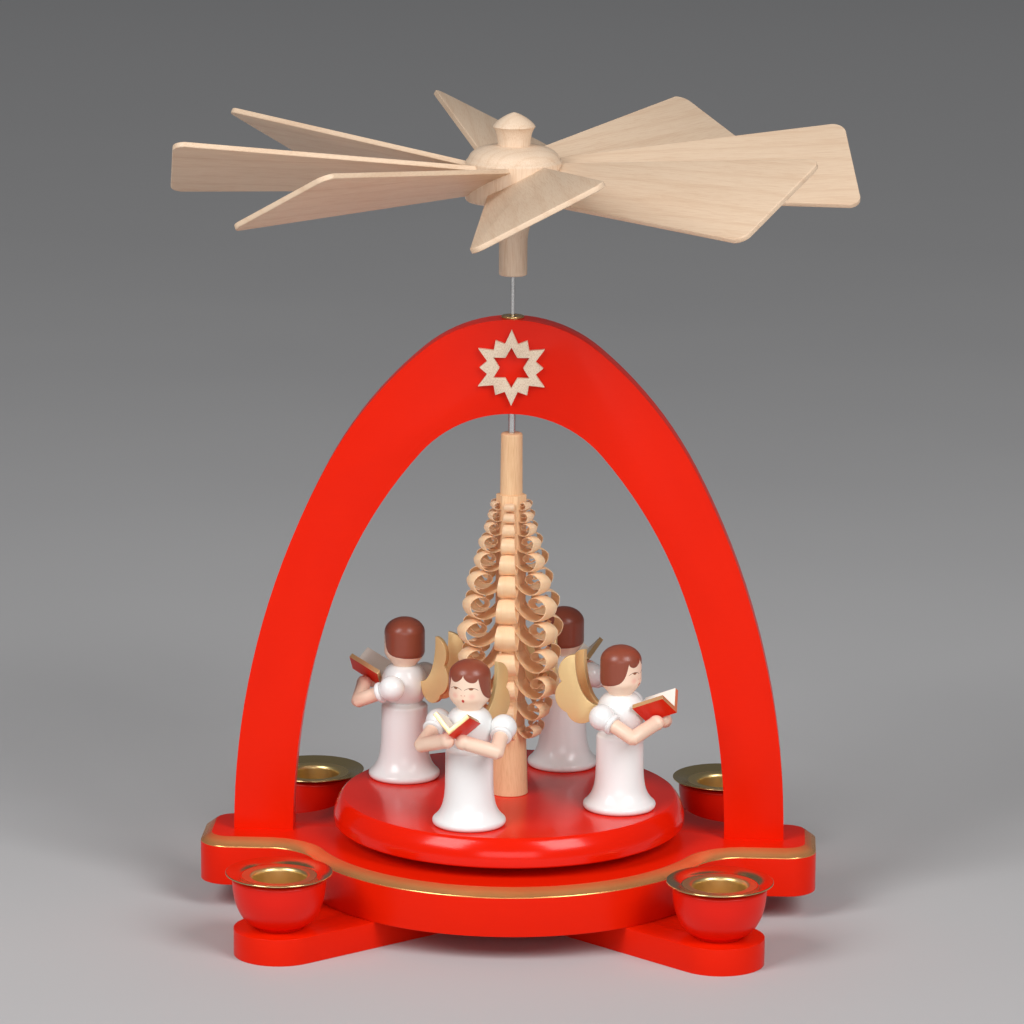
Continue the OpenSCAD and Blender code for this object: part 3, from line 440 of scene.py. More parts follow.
def lathe(profile, segments=ROUND):
    """Turns a list of (radius, height) points, from bottom to top, about the Z axis."""
    bm = bmesh.new()
    turns = [math.tau * i / segments for i in range(segments)]
    rings = []
    for r, z in profile:
        if r < 1e-6:
            rings.append([bm.verts.new((0, 0, z))])
        else:
            rings.append([bm.verts.new((r * math.cos(a), r * math.sin(a), z)) for a in turns])
    for low, high in zip(rings, rings[1:]):
        for i in range(segments):
            j = (i + 1) % segments
            if len(low) == 1 and len(high) == 1:
                continue
            if len(low) == 1:
                bm.faces.new((low[0], high[j], high[i]))
            elif len(high) == 1:
                bm.faces.new((low[i], low[j], high[0]))
            else:
                bm.faces.new((low[i], low[j], high[j], high[i]))
    bmesh.ops.recalc_face_normals(bm, faces=bm.faces)
    return bm


def close_rings(bm, rings):
    """Walls between rings of the same count, each joined to the next."""
    for low, high in zip(rings, rings[1:]):
        for i in range(len(low)):
            j = (i + 1) % len(low)
            bm.faces.new((low[i], low[j], high[j], high[i]))


def offset_outline(outline, inset):
    """A closed outline, counter-clockwise, moved inwards by the inset."""
    count = len(outline)
    moved = []
    for i, here in enumerate(outline):
        before = Vector(outline[i - 1])
        after = Vector(outline[(i + 1) % count])
        here = Vector(here)
        e1 = (here - before).normalized()
        e2 = (after - here).normalized()
        n1 = Vector((-e1.y, e1.x))
        n2 = Vector((-e2.y, e2.x))
        n = n1 + n2
        moved.append(here + n * (inset * 2 / n.length_squared))
    return moved


def slab(outline, low, high, edge, steps=3):
    """A flat piece with rounded edges from a closed outline, counter-clockwise from above."""
    levels = []
    for i in range(steps + 1):
        a = math.radians(90 * i / steps)
        levels.append((edge * (1 - math.sin(a)), low + edge * (1 - math.cos(a))))
    levels += [(inset, high - (z - low)) for inset, z in reversed(levels)]
    bm = bmesh.new()
    rings = [[bm.verts.new((*p, z)) for p in offset_outline(outline, inset)] for inset, z in levels]
    close_rings(bm, rings)
    bm.faces.new(list(reversed(rings[0])))
    bm.faces.new(rings[-1])
    return bm


def tube(path, radii, segments=28):
    """A round tube through points, one radius each, mitred where it bends, with closed ends."""
    bm = bmesh.new()
    points = [Vector(p) for p in path]
    rings = []
    side = None
    for i, here in enumerate(points):
        back = (here - points[i - 1]).normalized() if i else (points[1] - here).normalized()
        ahead = (points[i + 1] - here).normalized() if i + 1 < len(points) else back
        middle = (back + ahead).normalized()
        if side is None:
            side = back.orthogonal().normalized()
        side = (side - back * side.dot(back)).normalized()
        up = back.cross(side)
        ring = []
        for k in range(segments):
            a = math.tau * k / segments
            spoke = side * math.cos(a) * radii[i] + up * math.sin(a) * radii[i]
            spoke -= back * (spoke.dot(middle) / back.dot(middle))
            ring.append(bm.verts.new(here + spoke))
        rings.append(ring)
        side = (side - ahead * side.dot(ahead)).normalized()
    close_rings(bm, rings)
    bm.faces.new(list(reversed(rings[0])))
    bm.faces.new(rings[-1])
    bmesh.ops.recalc_face_normals(bm, faces=bm.faces)
    return bm


def add_to(bm, other):
    """Adds another bmesh's faces, on the first material, and frees it."""
    links = {v: bm.verts.new(v.co) for v in other.verts}
    for f in other.faces:
        bm.faces.new([links[v] for v in f.verts])
    other.free()


def finish_mesh(name, bm, materials, matrix=None, keep_place=None):
    """Makes the object: keeps its own coordinates as an attribute if asked, then puts the mesh in its place."""
    mesh = bpy.data.meshes.new(name)
    bm.normal_update()
    bm.to_mesh(mesh)
    bm.free()
    if keep_place:
        values = mesh.attributes.new(keep_place, "FLOAT_VECTOR", "POINT")
        for v in mesh.vertices:
            values.data[v.index].vector = v.co
    if matrix is not None:
        mesh.transform(matrix)
    mesh.transform(Matrix.Scale(MM, 4))
    for material in materials:
        mesh.materials.append(material)
    mesh.shade_smooth()
    mesh.set_sharp_from_angle(angle=math.radians(35))
    piece = bpy.data.objects.new(name, mesh)
    bpy.context.scene.collection.objects.link(piece)
    return piece


def seat(piece, body, slot, *nodes):
    """Sets a piece on its body and hides the nodes that it stands for. The slot is not used."""
    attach(piece, body)
    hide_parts(*nodes)


def softened(name, node, materials, edge, segments=3, choose=None):
    """A copy of a node with rounded edges. choose gives a face's material index from its normal and middle."""
    bm = bmesh.new()
    bm.from_mesh(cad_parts[node].data)
    bmesh.ops.scale(bm, vec=(1 / MM,) * 3, verts=bm.verts)
    bmesh.ops.remove_doubles(bm, verts=bm.verts, dist=1e-4)
    bmesh.ops.dissolve_limit(bm, angle_limit=math.radians(0.4), verts=bm.verts, edges=bm.edges)
    corners = [e for e in bm.edges if len(e.link_faces) == 2 and e.calc_face_angle(0.0) > math.radians(28)]
    bmesh.ops.bevel(bm, geom=corners, offset=edge, segments=segments, profile=0.5, affect="EDGES",
                    clamp_overlap=True, loop_slide=True)
    bm.normal_update()
    if choose:
        for f in bm.faces:
            f.material_index = choose(f.normal, f.calc_center_median())
    return finish_mesh(name, bm, materials)


# Stand: foot bars, base plate and arch


gold_edge = make_gold_edge()


def base_material(normal, middle):
    return 1 if 0.05 < normal.z < 0.97 and middle.z > base_top - 4.5 else 0


for node in ("cross_bar_lower", "cross_bar_upper"):
    seat(softened(node + "_lacquered", node, [red_lacquer], 0.9), "stand", "red_lacquer", node)
seat(softened("base_plate_lacquered", "base_plate", [red_lacquer, gold_edge], 0.8, 4, choose=base_material),
     "stand", "red_lacquer", "base_plate")
seat(softened("arch_lacquered", "arch", [red_lacquer], 0.9), "stand", "red_lacquer", "arch")
seat(softened("star_sawn", "star", [star_wood], 0.2, 2), "stand", "pale_wood", "star")

for node, material in (("arch_dowels", dowel_wood), ("bowl_dowels", dowel_wood), ("bearing_cup", plain_brass),
                       ("pivot_pin", steel)):
    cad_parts[node].data.materials.clear()
    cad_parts[node].data.materials.append(material)


def geometry_tree(name, inputs):
    """A Geometry Nodes tree with a Geometry input and output and named number inputs."""
    tree = bpy.data.node_groups.new(name, "GeometryNodeTree")
    tree.interface.new_socket("Geometry", in_out="INPUT", socket_type="NodeSocketGeometry")
    for label, kind in inputs:
        socket_type = {"count": "NodeSocketInt", "value": "NodeSocketFloat", "finish": "NodeSocketMaterial"}[kind]
        tree.interface.new_socket(label, in_out="INPUT", socket_type=socket_type)
    tree.interface.new_socket("Geometry", in_out="OUTPUT", socket_type="NodeSocketGeometry")
    source = tree.nodes.new("NodeGroupInput")
    target = tree.nodes.new("NodeGroupOutput")
    return tree, {s.name: s for s in source.outputs if s.name}, target


def random_value(tree, low, high, seed):
    node = add_node(tree, "FunctionNodeRandomValue", {"data_type": "FLOAT"}, Seed=seed)
    node.inputs[2].default_value = low
    node.inputs[3].default_value = high
    return Field(tree, node.outputs[1])


def close_tree(tree, points, shape, rotation, scale, finish, target):
    """Sets copies of a shape on points, makes them real and gives them their finish."""
    copies = add_node(tree, "GeometryNodeInstanceOnPoints", Points=points, Instance=shape, Rotation=rotation,
                      Scale=scale)
    marked = add_node(tree, "GeometryNodeStoreNamedAttribute", {"data_type": "FLOAT", "domain": "INSTANCE"},
                      Geometry=copies.outputs[0], Name="copy_number")
    feed(tree, marked.inputs["Value"], add_node(tree, "GeometryNodeInputIndex").outputs[0])
    real = add_node(tree, "GeometryNodeRealizeInstances", Geometry=marked.outputs[0])
    coloured = add_node(tree, "GeometryNodeSetMaterial", Geometry=real.outputs[0], Material=finish)
    tree.links.new(coloured.outputs[0], target.inputs[0])


def run_tree(piece, tree, values):
    """Runs a tree on a piece's mesh and keeps the result as a plain mesh."""
    modifier = piece.modifiers.new(tree.name, "NODES")
    modifier.node_group = tree
    for socket in tree.interface.items_tree:
        if socket.in_out == "INPUT" and socket.name in values:
            modifier[socket.identifier] = values[socket.name]
    evaluated = piece.evaluated_get(bpy.context.evaluated_depsgraph_get())
    mesh = bpy.data.meshes.new_from_object(evaluated)
    old = piece.data
    piece.modifiers.remove(modifier)
    piece.data = mesh
    bpy.data.meshes.remove(old)
    mesh.name = piece.name


screw_head_r, screw_r, screw_head_h, screw_len = 3.4, 1.7, 1.7, 18.6
screw_pitch = 1.4
screw_row_half_len, screw_row_half_w = 22.13, 19.67


def make_screw():
    """A countersunk wood screw that stands on its head, with a cross recess below and a thread cut into its shank."""
    count = 32
    turns = [math.tau * i / count for i in range(count)]
    levels = [(0.0, screw_head_r - 0.1), (0.12, screw_head_r), (screw_head_h, screw_r), (5.0, screw_r)]
    steps = int((screw_len - 6.6) / screw_pitch * 6)
    levels += [(5.0 + screw_pitch * (i + 1) / 6, None) for i in range(steps)]
    bm = bmesh.new()
    rings = []
    for z, r in levels:
        ring = []
        for a in turns:
            ridge = abs(((z / screw_pitch - a / math.tau) % 1.0) * 2 - 1) ** 2
            here = r if r else screw_r - 0.45 + 0.45 * ridge
            ring.append(bm.verts.new((here * math.cos(a), here * math.sin(a), z)))
        rings.append(ring)
    close_rings(bm, rings)
    point = bm.verts.new((0, 0, screw_len))
    for i in range(count):
        bm.faces.new((rings[-1][i], rings[-1][(i + 1) % count], point))
    long, half = 1.9, 0.32
    cross = []
    for quarter in range(4):
        turn = Matrix.Rotation(math.radians(90 * quarter), 2)
        cross += [turn @ Vector(p) for p in ((half, -half), (long, -half), (long, half))]
    mouth = [bm.verts.new((p.x, p.y, 0)) for p in cross]
    floor = [bm.verts.new((p.x * 0.55, p.y * 0.7, 1.3)) for p in cross]
    edges = [bm.edges.get((rings[0][i], rings[0][(i + 1) % count])) for i in range(count)]
    for i in range(12):
        j = (i + 1) % 12
        bm.faces.new((mouth[i], mouth[j], floor[j], floor[i]))
        edges.append(bm.edges.get((mouth[i], mouth[j])))
    bm.faces.new(floor)
    bmesh.ops.triangle_fill(bm, use_beauty=True, use_dissolve=False, edges=edges)
    bmesh.ops.recalc_face_normals(bm, faces=bm.faces)
    return bm


def make_screw_row():
    """Screws at the corners of a rectangle."""
    tree, given, target = geometry_tree("screw_row", [("Half Length", "value"), ("Half Width", "value"),
                                                      ("Finish", "finish")])
    index = Field(tree, add_node(tree, "GeometryNodeInputIndex").outputs[0])
    right = index.modulo(2) * 2 - 1
    back = (index / 2).floor() * 2 - 1
    place = join(tree, Field(tree, given["Half Length"]) * right, Field(tree, given["Half Width"]) * back, 0.0)
    points = add_node(tree, "GeometryNodePoints", Count=4, Position=place)
    turn = random_value(tree, 0.0, math.tau, 2)
    close_tree(tree, points.outputs[0], given["Geometry"], join(tree, 0.0, 0.0, turn), (1, 1, 1), given["Finish"],
               target)
    return tree


screws = finish_mesh("base_screws_cut", make_screw(), [])
run_tree(screws, make_screw_row(), {"Half Length": screw_row_half_len * MM, "Half Width": screw_row_half_w * MM,
                                    "Finish": steel})
seat(screws, "stand", "steel", "base_screws")


def at(x, y, z):
    return Matrix.Translation((x, y, z))


bush_bore_r = 0.8
bush_profile = (
    [(bush_bore_r, -14), (1.9, -14), (2, -13.9), (2, -0.02), (3.5, -0.02)]
    + arc(3.5, 0.28, 0.3, -90, 0, 3) + arc(3.5, 0.7, 0.3, 0, 90, 3) + [(bush_bore_r + 0.3, 1), (bush_bore_r, 0.8)]
)
seat(finish_mesh("arch_bush_turned", lathe(bush_profile + bush_profile[:1], 64), [plain_brass],
                 at(0, 0, arch_crown - 0.3)), "stand", "brass", "arch_bush")

# Candle holders

bowl_h = 17.1
bowl_r = 15.4
bowl_foot_r = 7.9
socket_r = 8.75
socket_depth = 12
cup_t = 0.5
lip_r = 1.4
ring_r = 12.5
flange_r = 17.6
flange_rise = 1.3

recess_r = socket_r + cup_t + 0.15
bowl_profile = (
    [(0, 0), (bowl_foot_r - 0.4, 0)] + arc(bowl_foot_r - 0.4, 0.4, 0.4, -90, 0, 3)
    + arc(bowl_foot_r - 0.4, bowl_h - 1, bowl_r - bowl_foot_r + 0.4, -82, 0, 24, bowl_h - 2)
    + arc(bowl_r - 0.9, bowl_h - 0.9, 0.9, 0, 90, 6)
    + [(recess_r + lip_r, bowl_h), (recess_r, bowl_h - lip_r), (recess_r, bowl_h - socket_depth - cup_t),
       (0, bowl_h - socket_depth - cup_t)]
)
cup_profile = (
    [(0, -socket_depth - cup_t), (socket_r + cup_t, -socket_depth - cup_t), (socket_r + cup_t, cup_t - lip_r)]
    + arc(socket_r + lip_r, cup_t - lip_r, lip_r - cup_t, 180, 90, 6)
    + [(ring_r, 0.0), (ring_r + 0.4, 0.3), (flange_r - 0.1, flange_rise)]
    + arc(flange_r - 0.25, cup_t + flange_rise - 0.25, 0.25, -80, 80, 6)
    + [(ring_r + 0.45, cup_t + 0.32), (ring_r + 0.1, cup_t + 0.04), (ring_r - 0.3, cup_t)]
    + arc(socket_r + lip_r, cup_t - lip_r, lip_r, 90, 180, 10)
    + [(socket_r, -socket_depth + 1.2)] + arc(socket_r - 1.2, -socket_depth + 1.2, 1.2, 0, -90, 5)
    + [(0, -socket_depth)]
)


def make_cup():
    """A spun cup, polished on its flange and satin on its lip and inside, where its brass is also painted lighter as
    painted light.
    """
    bm = lathe(cup_profile)
    for f in bm.faces:
        middle = f.calc_center_median()
        f.material_index = 1 if middle.xy.length < ring_r - 0.2 else 0
    return bm


for k, (x, y) in enumerate(candle_places, 1):
    seat(finish_mesh(f"candle_bowl_turned_{k}", lathe(bowl_profile), [red_bowl], at(x, y, bar_t), "own_place"),
         "stand", "red_lacquer", f"candle_bowl_{k}")
    seat(finish_mesh(f"candle_cup_spun_{k}", make_cup(), [brass, satin_brass_painted_lighter], at(x, y, bar_t + bowl_h), "own_place"),
         "stand", "brass", f"candle_cup_{k}")

# Turntable

table_r = 59.4
table_t = 9.5
table_side_r = 11.9
table_widest_z = 1.5
table_edge = 0.35
side_turn = math.degrees(math.asin((table_t - table_widest_z) / table_side_r))
side_line = arc(table_r - table_side_r, table_widest_z, table_side_r, 0, side_turn, 16)
table_profile = (
    [(0, 0), (table_r - 0.6, 0), (table_r - 0.1, 0.5)] + side_line[:-1]
    + arc(side_line[-1][0] - table_edge, table_t - table_edge, table_edge, side_turn, 90, 4) + [(0, table_t)]
)
seat(finish_mesh("turntable_lacquered", lathe(table_profile, 192), [red_turned], at(0, 0, table_top - table_t),
                 "own_place"), "carousel", "red_lacquer", "turntable")

# Curl tree

tree_top = 162.6
tree_stem_len = 23.8
tree_stem_r = 3.6
tree_foot_h = 23.7
tree_foot_r = 6.3
trunk_r = 4.4
tree_turn = -93
curl_columns = 6
curl_tiers = 12
curl_tip_reach = 7.2
curl_reach = 18.4
curl_low_reach = 12
curl_w = 7.4
curl_tip_w = 3.8
curl_top_z = tree_top - tree_stem_len
curl_low_z = table_top + tree_foot_h
curl_decay = math.log(2) / 200


def make_trunk():
    bm = lathe([(0, table_top), (tree_foot_r - 0.2, table_top), (tree_foot_r, table_top + 0.2),
                (tree_foot_r - 0.8, curl_low_z - 1), (tree_foot_r - 1.6, curl_low_z), (0, curl_low_z)], 64)
    stem = lathe([(0, curl_top_z), (tree_stem_r + 0.2, curl_top_z), (tree_stem_r, tree_top - 0.7)]
                 + arc(tree_stem_r - 0.7, tree_top - 0.7, 0.7, 0, 90, 4) + [(0, tree_top)], 64)
    add_to(bm, stem)
    corner_r = trunk_r / math.cos(math.pi / curl_columns)
    turn = math.radians(tree_turn) + math.pi / curl_columns
    outline = [(corner_r * math.cos(turn + math.tau * i / curl_columns),
                corner_r * math.sin(turn + math.tau * i / curl_columns)) for i in range(curl_columns)]
    add_to(bm, slab(outline, curl_low_z - 2, curl_top_z + 3, 0.3, 2))
    return bm


def make_shaving(steps=48, spans=4):
    """One shaving of unit radius and width, its roll centred on the origin, with its root on the -X side."""
    bm = bmesh.new()
    grain = bm.verts.layers.float_vector.new("grain")
    usual_r, usual_w = 6, 8
    thick = 0.036
    first, last = -30, 530
    root_wide, widen_turn = 0.68, 120
    taper, taper_from = 0.68, 120
    sweep, sweep_turn = 0.75, 42
    drift = Vector((-0.3, -0.12))
    path = []
    for i in range(steps + 1):
        a = first + (last - first) * i / steps
        r = math.exp(-curl_decay * max(0, a)) * (1 + sweep * math.exp((first - a) / sweep_turn))
        centre = drift * math.sin(math.radians(max(0, a - 180) / 2))
        wide = min(1.0, root_wide + (a - first) / widen_turn)
        wide *= 1 - taper * max(0, a - taper_from) / (last - taper_from)
        path.append((centre.x - r * math.cos(math.radians(a)), centre.y - r * math.sin(math.radians(a)), wide))
    count = len(path)
    rows = []
    along = 0.0
    for i, (px, pz, wide) in enumerate(path):
        before = path[max(i - 1, 0)]
        along += usual_r * math.dist(before[:2], (px, pz))
        after = path[min(i + 1, count - 1)]
        ahead = Vector((after[0] - before[0], after[1] - before[1])).normalized()
        inner = Vector((-ahead.y, ahead.x))
        t = thick * (1.0 - 0.6 * i / (count - 1))
        outer_row, inner_row = [], []
        for k in range(spans + 1):
            v = k / spans - 0.5
            cup = 0.05 * (4 * v * v)
            outer_row.append(bm.verts.new((px + inner.x * cup, v * wide, pz + inner.y * cup)))
            inner_row.append(bm.verts.new((px + inner.x * (cup + t), v * wide, pz + inner.y * (cup + t))))
            outer_row[-1][grain] = (along, v * wide * usual_w, 0)
            inner_row[-1][grain] = (along, v * wide * usual_w, 1)
        rows.append((outer_row, inner_row))
    for (o1, n1), (o2, n2) in zip(rows, rows[1:]):
        for k in range(spans):
            bm.faces.new((o1[k], o1[k + 1], o2[k + 1], o2[k]))
            bm.faces.new((n1[k], n2[k], n2[k + 1], n1[k + 1]))
        bm.faces.new((o1[0], o2[0], n2[0], n1[0]))
        bm.faces.new((o1[-1], n1[-1], n2[-1], o2[-1]))
    for outer_row, inner_row in (rows[0], rows[-1]):
        for k in range(spans):
            bm.faces.new((outer_row[k], outer_row[k + 1], inner_row[k + 1], inner_row[k]))
    bmesh.ops.recalc_face_normals(bm, faces=bm.faces)
    return bm


def make_tree_of_shavings():
    """Tiers of shavings in columns round a trunk, wide in the lower half and small at the top."""
    tree, given, target = geometry_tree("shaving_tiers", [
        ("Columns", "count"), ("Tiers", "count"), ("Top Height", "value"), ("Low Height", "value"),
        ("Trunk Radius", "value"), ("Tip Reach", "value"), ("Widest Reach", "value"), ("Low Reach", "value"),
        ("Tip Width", "value"), ("Widest Width", "value"), ("Turn", "value"), ("Finish", "finish")])
    number = {key: Field(tree, socket) for key, socket in given.items() if key not in ("Geometry", "Finish")}
    index = Field(tree, add_node(tree, "GeometryNodeInputIndex").outputs[0])
    column = index.modulo(number["Columns"])
    tier = (index / number["Columns"]).floor()
    u = tier / (number["Tiers"] - 1)
    sway, turn = 0.46, math.radians(250)
    whole = 1 - sway * math.sin(turn) / turn
    share = (u - (u * turn).sin() * (sway / turn)) * (1 / whole)
    widest = 0.6
    grow = (share * (math.pi / 2 / widest)).sin().max(0.0) ** 1.2
    shrink = ((share - widest) * (1 / (1 - widest))) ** 2.0
    low_part = share.above(widest)
    upper_reach = number["Tip Reach"] + (number["Widest Reach"] - number["Tip Reach"]) * grow
    lower_reach = number["Widest Reach"] - (number["Widest Reach"] - number["Low Reach"]) * shrink
    reach = upper_reach * (1 - low_part) + lower_reach * low_part
    spread = random_value(tree, 0.94, 1.02, 3)
    outer_r = math.exp(-180 * curl_decay)
    length = (reach - number["Trunk Radius"]) * spread
    fullness = (reach - number["Tip Reach"]) / (number["Widest Reach"] - number["Tip Reach"])
    roll_share = 1.36 - fullness.max(low_part * 1.15) * 0.46
    r = length * roll_share * (1 / (1 + outer_r))
    wide = number["Tip Width"] + (number["Widest Width"] - number["Tip Width"]) * fullness
    turn_here = (column / number["Columns"] * math.tau) + number["Turn"]
    stand_off = number["Trunk Radius"] + length - r * outer_r
    height = number["Top Height"] - (number["Top Height"] - number["Low Height"]) * share
    place = join(tree, turn_here.cos() * stand_off, turn_here.sin() * stand_off, height)
    roll = random_value(tree, -0.1, 0.1, 5)
    twist = random_value(tree, -0.05, 0.05, 7)
    points = add_node(tree, "GeometryNodePoints", Count=(number["Columns"] * number["Tiers"]).socket, Position=place)
    close_tree(tree, points.outputs[0], given["Geometry"], join(tree, twist, roll, turn_here), join(tree, r, wide, r),
               given["Finish"], target)
    return tree


seat(finish_mesh("tree_trunk_turned", make_trunk(), [trunk_wood]), "carousel", "lime_wood", "curl_tree")
shavings = finish_mesh("tree_shavings", make_shaving(), [], Matrix.Scale(1 / MM, 4))
run_tree(shavings, make_tree_of_shavings(), {
    "Columns": curl_columns, "Tiers": curl_tiers, "Top Height": curl_top_z * MM, "Low Height": curl_low_z * MM,
    "Trunk Radius": trunk_r * MM, "Tip Reach": curl_tip_reach * MM, "Widest Reach": curl_reach * MM,
    "Low Reach": curl_low_reach * MM, "Tip Width": curl_tip_w * MM, "Widest Width": curl_w * MM,
    "Turn": math.radians(tree_turn), "Finish": curl_wood})
seat(shavings, "carousel", "lime_wood", "curl_tree")

# Shaft

tube_r = 1.3
rod_r = 0.75
tube_low, tube_high = 146.6, 180.9
rod_low, rod_high = 148.6, 235.8
tube_profile = [(rod_r + 0.05, tube_low), (tube_r - 0.15, tube_low), (tube_r, tube_low + 0.15),
                (tube_r, tube_high - 0.15), (tube_r - 0.15, tube_high), (rod_r + 0.05, tube_high)]
seat(finish_mesh("drive_tube_cut", lathe(tube_profile + tube_profile[:1], 40), [steel]),
     "carousel", "steel", "drive_tube")
seat(finish_mesh("rotor_rod_ground", lathe([(0, rod_low), (rod_r - 0.2, rod_low), (rod_r, rod_low + 0.2),
                                            (rod_r, rod_high - 0.2), (rod_r - 0.2, rod_high), (0, rod_high)], 40),
                 [steel]), "carousel", "steel", "rotor_rod")

# Wing wheel

hub_low = 240.5
hub_high = 254.5
stem_low = 215.8
hub_r = 16
hub_round = 1.2
stem_r = 4.7
neck_r = 5.4
knob_r = 7.05
knob_low = hub_high + 4.6
knob_z = knob_low + 6.2
knob_tip = knob_z + 4.7
hollow_turn = math.radians(60)
hollow_w = (knob_r - neck_r) / (1 - math.cos(hollow_turn))
hollow_h = (knob_z - knob_low) / math.sin(hollow_turn)
knob_top = [(knob_r * math.cos(math.radians(a)) ** 1.5, knob_z + (knob_tip - knob_z) * math.sin(math.radians(a)) ** 1.5)
            for a in range(10, 90, 8)]
hub_profile = (
    [(0, stem_low), (stem_r - 0.6, stem_low)] + arc(stem_r - 0.6, stem_low + 0.6, 0.6, -90, 0, 4)
    + arc(stem_r + 20, stem_low + 10.5, 20, 180, 134.8, 16)
    + [(hub_r - 2 * hub_round, hub_low)] + arc(hub_r - hub_round, hub_low + hub_round, hub_round, -60, 0, 6)
    + arc(hub_r - hub_round, hub_high - hub_round, hub_round, 0, 60, 6)
    + arc(neck_r, hub_high, hub_r - neck_r - 1, 8, 90, 16, 4.6)
    + arc(neck_r + hollow_w, knob_low, hollow_w, 170, 120, 10, hollow_h) + knob_top + [(0, knob_tip)]
)
seat(finish_mesh("rotor_hub_turned", lathe(hub_profile), [hub_wood]), "carousel", "pale_wood", "rotor_hub")

blades = 8
blade_tip_r = 112.56
blade_seat_r = 10
blade_t = 1.8
blade_corner_r = 4.5
wheel_turn = 6.7


def make_blade():
    root, tip = 10, 23.75
    flank = math.degrees(math.atan2(tip - root, blade_tip_r - blade_seat_r))
    corner_y = tip - blade_corner_r * math.tan(math.radians((90 + flank) / 2))
    corner_x = blade_tip_r - blade_corner_r
    outline = ([(blade_seat_r, -root)] + arc(corner_x, -corner_y, blade_corner_r, flank - 90, 0, 8)
               + arc(corner_x, corner_y, blade_corner_r, 0, 90 - flank, 8) + [(blade_seat_r, root)])
    return slab(outline, -blade_t / 2, blade_t / 2, 0.35, 3)


blade_set = (at(0, 0, (hub_low + hub_high) / 2) @ Matrix.Rotation(math.radians(-2.4), 4, "Y")
             @ Matrix.Rotation(math.radians(27), 4, "X"))
for k in range(blades):
    turned = Matrix.Rotation(math.radians(wheel_turn + 360 * k / blades), 4, "Z") @ blade_set
    seat(finish_mesh(f"blade_sawn_{k + 1}", make_blade(), [blade_wood], turned, "grain"),
         "carousel", "pale_wood", f"blade_{k + 1}")

# Angels, each made facing +X over its own foot

skirt_h = 26
neck_z = 39.4
head_r = 6.9
head_h = 16.6
lobe_turn = 42.6
arm_r = 2.45
hand_r = 2.6
puff_r = 4.4
shoulder = Vector((-1.5, 11.3, 33.5))
elbow = Vector((10.5, 13, 28.3))
book_back = Vector((9.6, 0, 30.6))
book_tilt = math.radians(23)
book_len = 12
leaf_w = 9
leaf_t = 1.6
hand_out, hand_side = 0.4 * book_len, hand_r + 0.2
hand_up = hand_side - (hand_r + 0.04) * math.sqrt(2)
hand = book_back + Vector((hand_out * math.cos(book_tilt) - hand_up * math.sin(book_tilt), hand_side,
                           hand_out * math.sin(book_tilt) + hand_up * math.cos(book_tilt)))
head_paint = make_face_paint()


def robe_profile():
    foot, rim, skirt, flare_fall = 12.2, 1.4, 7.9, 3.2
    rim_line = arc(foot - rim, rim, rim, -90, 55, 14)
    rim_x, rim_z = rim_line[-1]
    band_z = skirt_h - 1.3
    falls = (band_z - rim_z) / flare_fall
    skirt_line = []
    for i in range(1, 24):
        share = (i / 24) ** 2
        skirt_line.append((skirt + (rim_x - skirt) * math.exp(-falls * share), rim_z + (band_z - rim_z) * share))
    return ([(0, 0)] + rim_line + skirt_line + arc(skirt - 1.1, band_z, 1.1, 0, 80, 8)
            + arc(3.5, 32.7, 4.5, -60, 75, 24, 6.936) + [(0, neck_z)])


def head_profile():
    throat_r, jaw_h, crown_h = 3.8, 4.9, 5.2
    jaw_turn = math.degrees(math.acos(throat_r / head_r))
    jaw_drop = jaw_h / math.sin(math.radians(jaw_turn))
    jaw = []
    for r, z in arc(0, neck_z + jaw_h, head_r, -jaw_turn, 0, 16, jaw_drop):
        up = (z - neck_z) / jaw_h
        straight = throat_r + (head_r - throat_r) * up
        jaw.append((r + (straight - r) * (1 - up), z))
    return ([(0, neck_z)] + jaw
            + arc(0, neck_z + head_h - crown_h, head_r, 0, 90, 24, crown_h)[:-1] + [(0, neck_z + head_h)])


def make_arm():
    """A left arm: bare arm with a mitred elbow and a round hand, in a puffed sleeve with a cuff."""
    upper = (elbow - shoulder).normalized()
    fore = (hand - elbow).normalized()
    ease = 0.22
    path = [shoulder, elbow - upper * 4, elbow - upper * ease, elbow + fore * ease, elbow + fore * 4,
            hand - fore * 1.5]
    radii = [arm_r] * 6
    for i in range(9):
        a = math.radians(-25 + 110 * i / 8)
        path.append(hand + fore * (hand_r * math.sin(a)))
        radii.append(max(0.12, hand_r * math.cos(a)))
    bm = tube(path, radii)
    for f in bm.faces:
        f.material_index = 1
    puff = [(0, -puff_r)] + arc(0, 0, puff_r, -88, 70, 30) + [(2.4, 4.0)]
    cuff_r = arm_r + 1.15
    soft = 0.75
    cuff = ([(arm_r - 0.2, 3.5)] + arc(cuff_r - soft, 3.5 + soft, soft, -90, 0, 6)
            + arc(cuff_r - soft, 5.3 - soft, soft, 0, 90, 6) + [(arm_r - 0.2, 5.3)])
    turned = at(*shoulder) @ upper.to_track_quat("Z", "Y").to_matrix().to_4x4()
    for part in (puff, cuff + cuff[:1]):
        shape = lathe(part, 48)
        bmesh.ops.transform(shape, matrix=turned, verts=shape.verts)
        add_to(bm, shape)
    return bm


